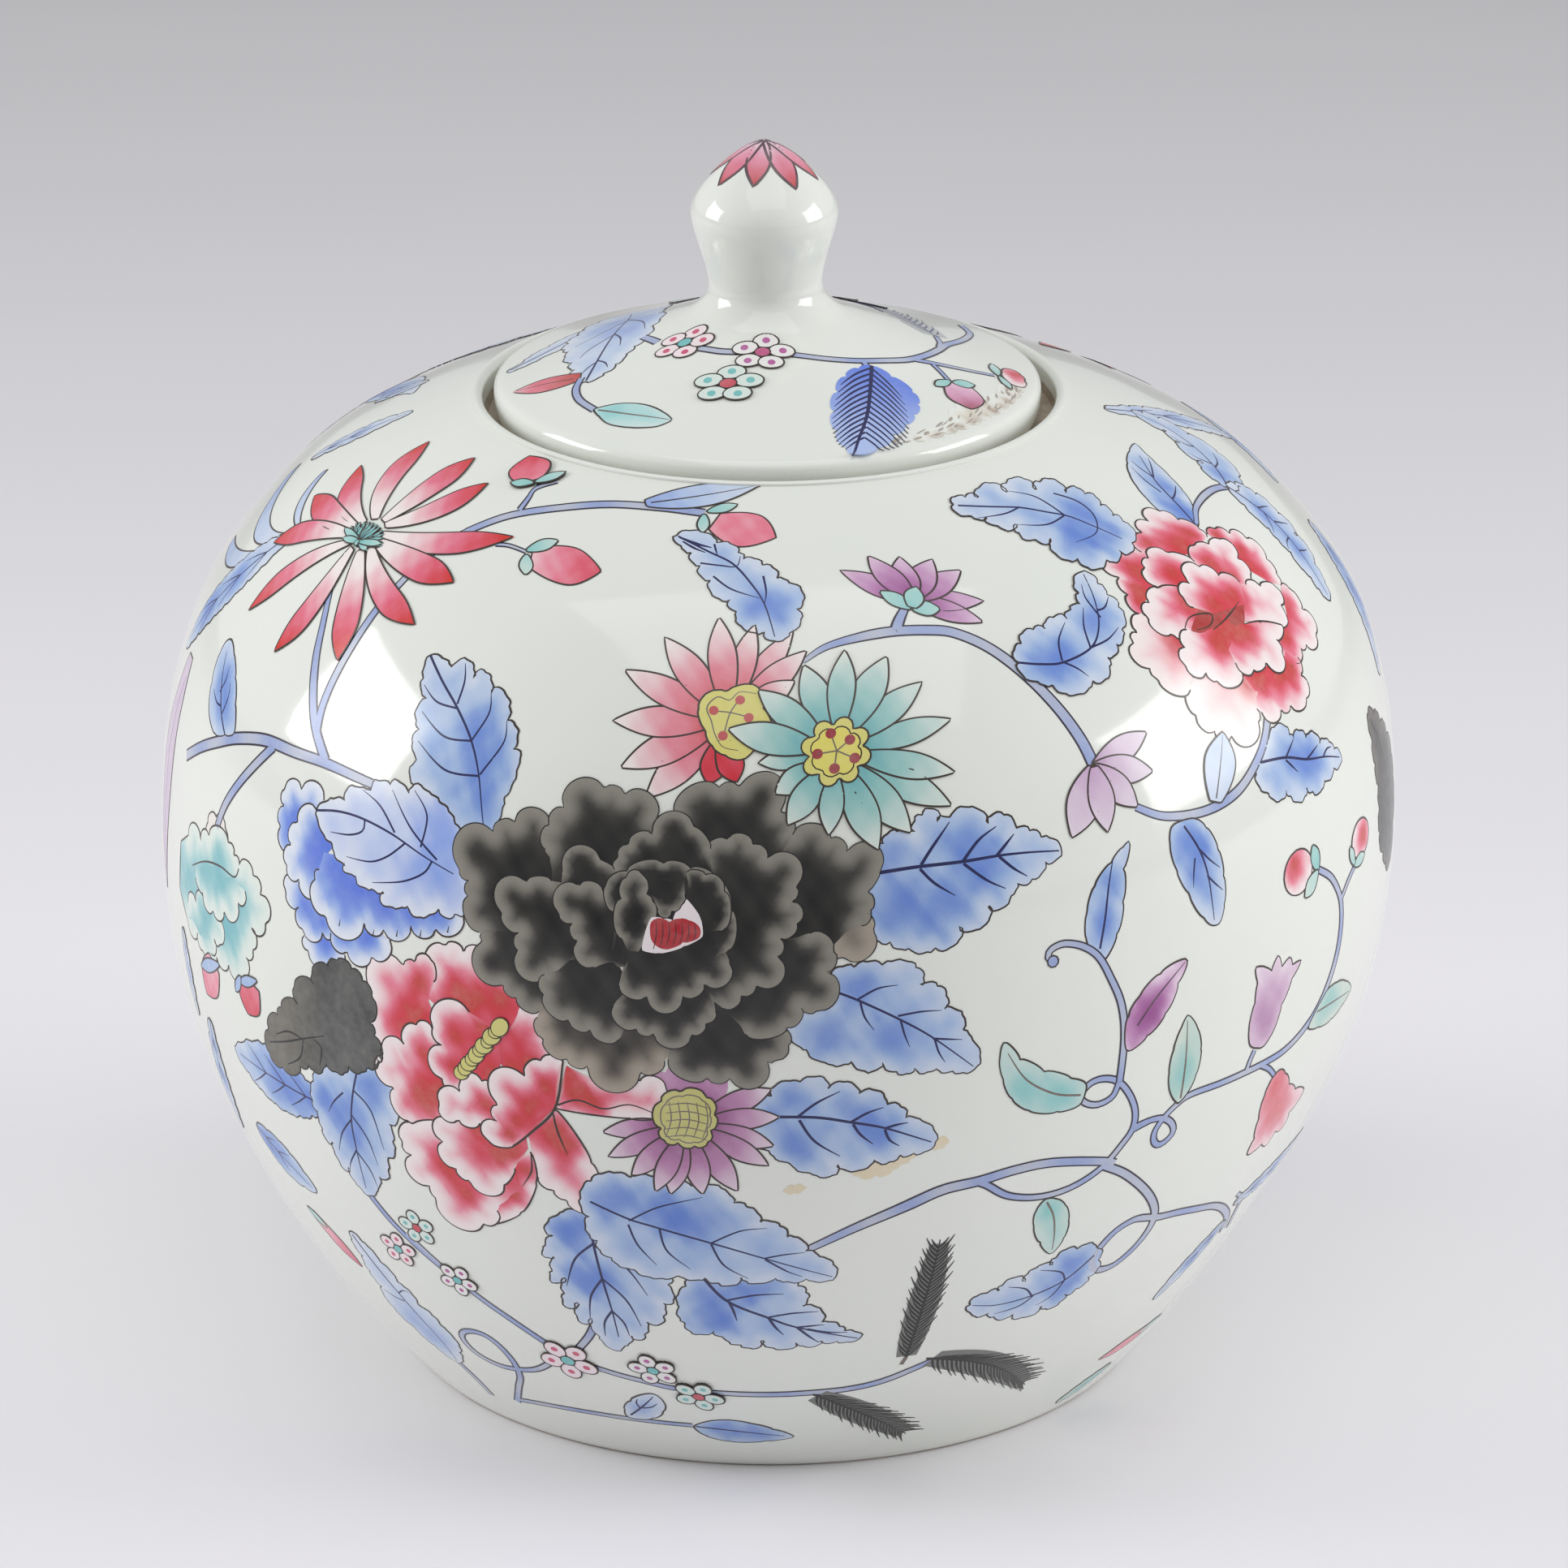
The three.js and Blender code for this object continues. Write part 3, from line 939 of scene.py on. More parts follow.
# ---- black peony -----------------------------------------------------------------------
def black_peony(swing=0, tag="", tones=SOOTY, warm=WARM_SOOT, line=SOOT):
    """The large dark peony; with other tones it is the plum one behind."""
    art = Painting(("plum" if tag else "black") + "_peony" + tag, "jar", PotFace(-9 + swing, 142))
    art.level = PEONY_LEVEL

    def soot(rim, back, depth=8.0, bulge=0.3, deep=(), tones=tones):
        petal(art, rim, back, tones, depth * 0.62, bulge, deep, 0.22, 0.3, line)

    soot([(-38, -5.5), (-37.7, -7, 0.5), (-33.3, -14.7), (-30.7, -16.7), (-26, -18.7)],
        [(-18, -12), (-22, -2), (-32, -2)])
    soot([(-24.7, 16.5, 0.42), (-32, 16), (-36.3, 13.7, 0.46), (-43, 5.6), (-40.7, 4), (-41, 1),
            (-38.4, -5.4)],
        [(-30, -5), (-20, 2), (-18, 12)], 10.5)
    soot([(-25.6, 12), (-25, 16.6), (-22.4, 20, 0.42), (-14.8, 24.4), (-11, 23.6, 0.42),
            (-4.7, 19.6)],
        [(-5.6, 16.5), (-9, 13), (-12, 6), (-24, 6)], 11)
    soot([(-1.2, 20.3, 0.34), (6.6, 26), (10, 26.2, 0.6), (17.9, 21.6), (20.4, 17.6)],
        [(17, 8), (8, 6), (2, 12)], 9.5)
    soot([(31.5, 3), (36, -0.5, 0.45), (30.6, -5.3), (28.4, -3)], [(24, -6), (20, 2)], 12, 0.35, (), warm)
    soot([(20.4, 17.6, 0.35), (27.4, 16.8, 0.3), (30.4, 14.2, 0.5), (36.8, 10.2, 0.1), (34.6, 6.7),
            (35.3, 3.1), (33.8, 0.5)],
        [(28, -4), (18, -4), (14, 10)], 10.5)
    soot([(20, -19), (20.7, -22.3), (18.5, -25), (17, -25.4, 0.5), (10, -28.9), (6, -28.9),
            (-1.3, -25.6)],
        [(-2, -18), (8, -12), (18, -14)], 8)
    soot([(24.4, -0.6), (28.7, -4), (27.7, -8, 0.42), (26, -15.4), (23, -14.6), (20.6, -18.6, 0.2),
            (13, -20)],
        [(6, -14), (14, -2)], 9)
    soot([(-2, -26), (-6.5, -28.6, 0.48), (-16.6, -28.4), (-20.6, -27.4), (-25.2, -24), (-26.4, -20)],
        [(-24, -12), (-8, -14), (2, -20)], 9, 0.3, (), warm)
    soot([(-22, 8.4, 0.5), (-14.6, 11.2, 0.1), (-12, 10)], [(-10, 2), (-22, 2)], 4.5)
    soot([(-24, 6.4, 0.2), (-29, 5.6, 0.5), (-33.8, -1), (-30, -4), (-30.4, -7.5, 0.5),
            (-24.6, -11.8), (-22.4, -10.4)],
        [(-16, -6), (-16, 6)], 8.5)
    soot([(-25, -11.4, 0.3), (-25.2, -15.2), (-20.2, -19.6), (-16, -21), (-10.6, -22.4)],
        [(-6, -16), (-12, -6), (-20, -8)], 9)
    soot([(-14, 5.6), (-18.6, 6.2, 0.45), (-22.4, 0.6), (-19.6, -0.8), (-18.6, -4.2, 0.4),
            (-15.4, -8.8)],
        [(-8, -8), (-6, 6)], 7.5)
    soot([(4, 12), (8.6, 16.6, 0.35), (13.3, 15.7), (16, 13.3, 0.5), (21.6, 8), (20.7, 5.3, 0.4),
            (22, 1.2), (18.8, -1.4), (18.6, -4.9, 0.5), (14.7, -10.5), (12, -12.4), (8.8, -15)],
        [(2, -10), (6, 2)], 8.5)
    soot([(-11.6, -15.8, 0.35), (-7.3, -20), (-4, -20.6, 0.42), (3, -20.4), (5.6, -18), (7.4, -15.6)],
        [(6, -8), (-8, -10)], 6.5)
    soot([(-12, 9.8), (-11.4, 12), (-9.6, 14.6), (-5.3, 16.8, 0.46), (2.4, 18.6, 0.15), (5.6, 14.8)],
        [(8, 6), (-10, 4)], 6.0)
    soot([(-10.6, -11.8), (-5.4, -13.4, 0.5), (1.4, -13), (5.2, -10.4, 0.45), (9.8, -6.2)],
        [(8, 2), (-8, 0)], 6.5)
    soot([(-12, 2), (-13.4, 7), (-9.7, 9.6, 0.2), (-3, 11.6, 0.2), (2, 11), (6.8, 9.4), (9.6, 4),
            (9.4, -4)],
        [(4, -8), (-6, -9), (-12, -6)], 3.4, 0.2)
    soot([(1.4, 10.3), (5, 10, 0.3), (8.4, 7.2), (8.6, 0)], [(4, -2), (2, 7)], 3.2, 0.2)
    soot([(-10, -3), (-10.4, 4.7), (-9.7, 8.6, 0.4), (-6.6, 9.2), (-5.9, 5.8), (-4.6, 4.6),
            (-4.4, 1), (-6.4, -4)],
        [(-7, -5), (-9, -5)], 4.6, 0.22)
    heart = [(-6.3, -4.7), (-4.7, 1.6), (-0.7, 1.3), (1.3, 5.6), (4.3, 2), (4.8, -1.4), (1.4, -3.4),
        (-3.2, -5)]
    art.fill(scalloped(heart, 0.06), srgb(236, 226, 228), 0.8)
    ruby = [(-4.7, 0.8), (-3.2, 1.6), (-1.4, 0.9), (0.4, 1.7), (2.2, 1.5), (4.3, 0.2), (4.3, -1.5),
        (1.2, -2.7), (-2.4, -4.2), (-4.4, -3)]
    art.fill(scalloped(ruby, 0.1), srgb(176, 24, 40), 0.8)
    for k in range(7):
        x = -4.2 + k * 1.2
        art.ink([(x, -4.3 + 0.33 * k), (x + 0.5, -1.2), (x + 0.3, 1.2)], 0.24, (0.5, 1, 0.3),
            srgb(90, 10, 20))
    soot([(-3.6, 3.4), (-2.4, 1.6), (-1, 3), (0.8, 4.4), (1.3, 6.2)], [(1, 9), (-4, 9), (-5, 6)], 3, 0.25)
    art.finish(enamel)


black_peony()


# ---- lower pink peony ------------------------------------------------------------------
def lower_peony(swing=0, tag=""):
    """The open pink peony low on the left."""
    art = Painting("pink_peony_low" + tag, "jar", PotFace(-28 + swing, 98))
    petal(art, [(-9.4, 29, 0.4), (-6, 34.6, 0.35), (-2, 34, 0.4), (2.6, 34.2), (6, 32)],
        [(11, 25.5), (9, 20), (-4, 20), (-9.6, 23.5)], depth=8,
        deep=[(6, 26.5, 5), (-3, 26, 5), (1, 25, 4)])
    petal(art,
        [(-20, 11.5, 0.2), (-23.6, 16, 0.2), (-22.8, 21.4, 0.5), (-15.3, 28.7, 0.3),
            (-12.6, 30, 0.4), (-9, 31.2, 0.2), (-8.4, 27)],
        [(-9.6, 23), (-7, 18), (-10, 10)], depth=8,
        deep=[(-11.5, 26, 5), (-15, 16, 5), (-12, 20, 4)])
    petal(art, [(10, 25.6, 0.2), (14.5, 24.4), (16, 20), (15.2, 16)], [(8, 10), (4, 16), (7.3, 20)],
        depth=6, deep=[(12, 14.6, 4.5), (8, 13, 3.5)])
    petal(art,
        [(-8.8, 17.6, 0.35), (-12.4, 17.6, 0.35), (-15.2, 12.6, 0.45), (-20.6, 9.6, 0.5),
            (-18.4, 3, 0.35), (-15.6, -3.6, 0.3), (-8.6, -1.6)],
        [(-3, 0), (-4, 12)], depth=9, deep=[(-12, 2, 5.5), (-8, 5, 6), (-11, 12, 4)])
    petal(art,
        [(16.5, 5.9, 0.02), (31, 5.6, 0.1), (37.4, 6.6, 0.5), (38, 12, 0.4), (33, 13.4, 0.1),
            (24, 13)],
        [(19, 15)], depth=7, deep=[(20, 9.5, 4.5), (24, 8, 4), (19, 13, 3)])
    art.ink([(17, 6.6), (21, 8.2), (26, 7), (31, 8.4), (36, 6.8)], 0.36, (1, 0.8, 0.5))
    petal(art,
        [(16.2, 5.6, 0.08), (22.6, -5, 0.12), (23.8, -13, 0.3), (20.5, -17, 0.3), (16.8, -14.6),
            (14.4, -12.6), (11.6, -10.2), (11.2, -7)],
        [(10.6, -1)], depth=8, deep=[(16, 1.5, 5), (18, -2, 4.5)])
    petal(art, [(10.6, -4.6, 0.1), (11, -11.2, 0.08), (6.7, -19.6, 0.08), (-2, -24.8)],
        [(0, -16), (6, -8)], depth=5, deep=[(6, -15.5, 3.6), (9.4, -9, 3.4)])
    petal(art,
        [(-9, -2, 0.1), (-14.6, -4, 0.35), (-17.8, -9, 0.4), (-16, -11.4, 0.5), (-13, -18.2, 0.2),
            (-12.2, -21, 0.45), (-2.2, -24.8, 0.3), (1.5, -20.4)],
        [(8, -14), (8, -4)], depth=9.5, deep=[(-8, -12, 5), (-4.4, -17.5, 4)])
    petal(art,
        [(-6.8, -0.6, 0.45), (-8.2, -6.3, 0.4), (-6, -12, 0.3), (-3.4, -14.2, 0.42),
            (4.2, -13.4, 0.1), (7, -9)],
        [(10.2, -4), (10, 1), (0, 1)], depth=8, deep=[(4, -6, 5), (-0.6, -1.6, 2.6), (7, -5, 4)])
    petal(art,
        [(-0.6, 22.6, 0.45), (-8.6, 17.8, 0.3), (-6.6, 14.8, 0.45), (-7, 7.6, 0.3), (-3, 5.6)],
        [(3, 6), (6, 14), (6, 20)], depth=5.5,
        deep=[(-3.4, 17, 4), (-4.6, 11, 3.4), (2, 20.6, 4.4), (3.6, 11, 4.6)])
    petal(art,
        [(3.6, 8.6, 0.3), (1.7, 9, 0.4), (-3, 7.8, 0.2), (-3, 5.6, 0.42), (-8, 2.2, 0.5),
            (-4, -0.4, 0.3), (0.6, -0.2)],
        [(5, 1), (6, 8)], depth=6, deep=[(2.2, 4, 3.4)])
    petal(art,
        [(18.4, 15.8, 0.3), (14, 15.4, 0.3), (10.8, 11.6, 0.55), (4.8, 4.6, 0.4), (4.4, 1, 0.5),
            (2.2, -3.8, 0.2), (7.6, -3.4)],
        [(10.8, -0.6), (16.4, 6)], depth=6.5,
        deep=[(14.6, 10.4, 3.6), (11.6, 6, 3.6), (8.4, 2, 3.6), (6.4, -1.4, 2.6)])
    art.ink([(18.4, 15.8), (16.5, 6), (11, -0.4), (7.4, -3.8)], 0.46, (0.7, 1, 0.8))
    art.ink([(16, 4.6), (16.6, 1), (18.2, -4)], 0.36, (0.8, 1, 0.2))
    art.ink([(10.8, -5), (10.4, -9), (8, -13)], 0.32, (0.8, 1, 0.2))
    art.level += 1
    for k in range(11):
        share = k / 10
        spot = (-2.6 + 8.4 * share, 10 + 10.8 * share)
        disc(art, spot, 1.9 - 0.25 * math.sin(3 * k), srgb(206, 200, 112), 0.24, 0.78,
            40 + 12 * math.sin(2 * k))
    art.finish(enamel)


lower_peony()


# ---- daisies, vine and buds above the black peony --------------------------------------
def daisy(art, centre, tips, reach, width, tones, near=1.0, far=0.0, ink=0.34):
    """Pointed petals round an eye; each tip may carry its own width as third value."""
    for tip in tips:
        way = np.array(tip[:2], float) - centre
        base = np.array(centre) + way / np.linalg.norm(way) * reach
        blade(art, base, tip[:2], tip[2] if len(tip) > 2 else width, tones, near, far, 0.5, 0.4, ink)


def dotted(art, spots, size, colour):
    """The same plain dot at each spot."""
    for spot in spots:
        disc(art, spot, size, colour, 0)


def upper_daisies(swing=0, tag=""):
    """A pink and a teal daisy above the dark peony."""
    art = Painting("daisies_high" + tag, "jar", PotFace(-9 + swing, 192))
    daisy(art, (7.3, -11.3),
        [(-7, -26.7), (-12.1, -21.5), (17.9, 7, 5), (20.7, 2.7, 5.4), (19, -3.4, 5), (-14.2, -12.8),
            (-12.7, -2.7, 5.6), (-5.7, 4.7, 5.8), (10.7, 8.3, 4.8), (4, 9.7, 5.4)],
        3, 6, (srgb(238, 226, 224), srgb(224, 128, 146), srgb(206, 46, 62)), 0.95, -0.1)
    for tip in [(4.4, -23.5), (9.6, -23)]:
        blade(art, (6.4, -15), tip, 5, ROSY, 0.9, 0.95, 0.6, 0.4)
    eye = [(1.7, -9.3), (2.3, -7), (4.7, -5.5), (6.7, -5.8), (8.7, -4.5), (12, -4.5), (13.3, -7),
        (13.5, -9), (15.3, -12.9), (12.7, -16), (10.3, -18.7), (7.3, -18), (4.7, -16.3),
        (3.3, -13.3)]
    art.fill(scalloped(eye, 0.12), YELLOW, 0.9)
    art.ink(scalloped([*eye, eye[0]], 0.12), 0.34, (1, 0.7, 1), INK, smooth=False)
    inner = [(9.5, -17), (6.6, -16.4), (5, -14), (4.2, -11.5), (3.2, -9), (5, -6.8), (7.3, -7.4),
        (9, -5.7), (12, -6)]
    art.ink(inner, 0.26, (0.5, 1, 0.5), SOFT_INK)
    art.ink([(9, -7.3), (7.5, -10), (6.7, -14)], 0.22, (1, 1), SOFT_INK)
    art.ink([(4.6, -9.6), (7.6, -9.8), (11, -10.6)], 0.22, (1, 1), SOFT_INK)
    dotted(art, [(4.5, -9.5), (9.2, -7.3), (11, -10.7), (6.5, -14.3)], 0.9, srgb(186, 60, 66))
    daisy(art, (27.5, -17.3),
        [(13.3, -19.3, 4), (16.7, -25, 5), (48.7, -12.7, 5), (49.7, -28.7, 5.6), (50, -22.7, 5),
            (42.7, -5, 5.6), (42.3, -33, 6), (36.3, -35.7, 6), (35.7, 0.7, 6.4), (19.3, -30.7, 5.4),
            (27, -32.7, 4.6), (20.3, -0.3, 5.6), (27.7, 2.5, 5.2), (12.3, -5.3, 5.4), (7.3, -13, 6)],
        4.5, 6, (srgb(222, 228, 220), srgb(150, 196, 192), srgb(84, 166, 172)), 0.95, 0.02)
    lobed(art, (27.4, -17.3), 4.9, 8, 0.55, YELLOW, 0.34, 10)
    lobed(art, (27.4, -17.3), 4.0, 8, 0.35, srgb(222, 210, 96), 0.26, 10)
    for spot in [(26.2, -13.9), (29.8, -15.2), (24, -17.7), (30.9, -18.7), (27.3, -20.5)]:
        art.ink([(27.5, -17.2), spot], 0.24, (1, 1), SOFT_INK)
        disc(art, spot, 0.98, srgb(150, 30, 44), 0)
    art.finish(enamel)


def upper_vine(swing=0, tag=""):
    """The vine under the lid with its buds and leaves."""
    art = Painting("vine_high" + tag, "jar", PotFace(-9 + swing, 192))
    art.vines(
        ((-52, 19.5), (-50, 21.5), (-41.3, 27.7), (-30, 33), (-20, 36.3), (-10, 37.2), (-2, 36.7),
            1.7, (0.8, 1, 1.2)),
        ((-39.9, 29.4), (-38.7, 33), (-37.7, 36), (-33.3, 39.3), 1.1, (1.2, 0.8, 0.9)),
        ((-43.3, 19.7), (-40, 20.3), (-36, 19.8), 0.9, (1, 1)),
    )
    blade(art, (0.2, 34.4), (12.2, 30.2), 9.6, ROSY, 0.45, 0.55, 0.5, 0.5)
    blade(art, (-1.6, 37), (4, 39.6), 2.6, LEAF_TEAL, 0.7, 0.3)
    blade(art, (-2, 36.4), (-1.6, 30.8), 2.4, LEAF_TEAL, 0.7, 0.1)
    blade(art, (-34.6, 18.6), (-19.6, 18.4), 9.4, ROSY, 0.25, 0.85, 0.55, 0.5)
    blade(art, (-36, 20), (-29.5, 24.3), 2.8, LEAF_TEAL, 0.8, 0.1)
    blade(art, (-35.7, 19.2), (-35, 14.2), 3.2, LEAF_TEAL, 0.5, 0.0)
    edge = [(-6.3, 29.7), (1.3, 28), (5.6, 25.6), (6.7, 24), (10.3, 22.6), (13.3, 19), (15.7, 18),
        (17.9, 11.7), (17, 6.7), (15, 5), (12.7, 7), (7.3, 11.3), (5.7, 14), (1.7, 18.7),
        (-0.7, 22.3), (-2.7, 25.7), (-4.9, 27.2)]
    leaf(art, edge,
        [[(-6, 29.5), (0, 26), (5, 23), (9, 18), (12, 13), (14.6, 5.6)],
            [(1.8, 19.6), (5.5, 16.5), (11, 14.4)], [(-1, 22.8), (3, 22.4), (5.8, 22.3), (6.2, 25)],
            [(1, 28), (1.6, 26), (2, 25)], [(11, 20), (12, 16), (12, 13)]],
        [(15, 13, 4.5), (10, 12, 3.4)], bulge=0.3)
    blade(art, (-13.6, 37.8), (7.4, 45.4), 6.4, LEAF_PALE, 0.9, 0.1, 0.5, 0.3, 0.36, 0.34)
    art.ink([(-5.6, 29.2), (-2.4, 27.8), (0.6, 27)], 0.7, (0.6, 1, 0.3), NAVY)
    art.ink([(-5, 28.2), (-2.6, 26.6), (-0.4, 25.6)], 0.5, (0.6, 1, 0.3), NAVY)
    art.finish(enamel)


upper_daisies()
upper_vine()


# ---- right shoulder: purple lotus, arching vine and blue leaves ------------------------
def right_arch(swing=0, tag=""):
    """The arching vine with its lotus, lilac flower and two leaves."""
    art = Painting("arch_right" + tag, "jar", PotFace(28 + swing, 192))
    art.vines(
        ((-42, 0.4), (-36.7, 3.3), (-30, 5), (-23.3, 5.8), (-16.7, 5.4), (-12, 4.2), (-6.7, 0.2),
            (-2, -6), (2, -13.3), (4.7, -20), (6, -25), 2.1, (0.3, 0.9, 1, 1, 1.1)),
        ((-22.6, 5.6), (-21, 8), (-18, 11.4), 1.7, (1.2, 0.7)),
        ((13.6, -34.6), (20, -37.7), (30, -39), (38.7, -37.7), (45.3, -34), (50, -29.3), (55, -20),
            1.9, (0.7, 1, 1)),
    )
    stem = (-16.7, 12.6)
    for tip, width in [((-26.1, 21), 5.6), ((-3.3, 10), 5), ((-5.5, 5.5), 5), ((-4, 18), 5.4),
            ((-8, 21.7), 5.4), ((-13.7, 23.3), 5.2), ((-19.3, 24.3), 5.4)]:
        blade(art, stem, tip, width, PLUMMY, 1.0, 0.1, 0.45, 0.3)
    for tip in [(-21.5, 15.2), (-12.2, 9.6), (-14.2, 15.4)]:
        blade(art, (-17.4, 10.6), tip, 3.6, LEAF_TEAL, 0.75, 0.35, 0.5, 0.4)
    lilac = (srgb(228, 218, 226), srgb(208, 184, 208), srgb(176, 128, 176))
    for tip, width in [((19.3, -21.7), 5), ((18.7, -29), 5.4), ((14, -34.7), 5.4), ((-1, -37.7), 7),
            ((6.7, -38), 5.6)]:
        blade(art, (6, -25.6), tip, width, lilac, 0.8, 0.15, 0.5, 0.3)
    blade(art, (32.7, -38), (37.6, -26), 8.4, LEAF_PALE, 0.2, 0.4, 0.55, 0.35, vein=0.3)
    leaf(art,
        [(3.3, 34.8), (6.7, 35.9), (9.3, 35.2), (10.7, 37.2), (15.7, 34.7), (17.3, 36.8), (22.3, 33),
            (24.7, 34.3), (28.4, 29.6), (32.7, 27.7), (34, 24), (35, 20.7), (36.7, 18.6), (35.3, 14),
            (31, 13.6), (26.7, 12.8), (20.7, 14.7), (17.9, 20.7), (14.7, 22), (12.3, 24.3),
            (12.7, 26.3), (9, 27.3), (8, 30), (5.3, 31.3)],
        [[(4, 34.3), (10, 32.2), (16, 30), (21, 27), (25, 24.5), (29, 20.5), (33.6, 15.5)],
            [(24.3, 25), (21, 31.5), (16, 35)], [(16, 30.2), (12, 29.5), (6, 30)],
            [(24.3, 25), (19, 24.2), (13, 26)],
            [(25.6, 30.8), (29.6, 27), (31, 22.6), (28.6, 18.8), (22.5, 18.3)]],
        [(28, 24, 6), (23, 19, 5), (30, 17, 4)], bulge=0.4)
    leaf(art,
        [(-2.3, -3.7), (0, -0.3), (3.3, 2), (6, 1.5), (8.7, 3.5), (11.3, 2.7), (13, 4.3),
            (15.7, 4.7), (16.7, 7.3), (19.7, 11.3), (21.3, 8), (22, 5.3), (23.3, 2.3), (21.7, -1.7),
            (19.3, -4.3), (16, -6), (15.7, -8), (11, -9.7), (2.7, -8.7), (0.3, -7.7)],
        [[(-2.3, -3.7), (2, -4.8), (6.7, -5.3), (13.7, -3.7), (17.3, 0), (19, 5), (19.7, 11)],
            [(6.5, -5), (7.5, -1), (10.5, 2.3)], [(13.5, -3.7), (14, 0.5), (15.8, 4.3)],
            [(13.7, -3.7), (18, -3), (21.5, -1.3)], [(6.7, -5.3), (9, -7), (10.7, -9)],
            [(18.6, 3), (20.5, 3.2), (22.4, 5)], [(18.5, 1.5), (17.3, 6), (18, 9)]],
        [(2, -6, 5), (7, -4, 4), (17, 1.5, 4)], bulge=0.3)
    art.finish(enamel)


right_arch()


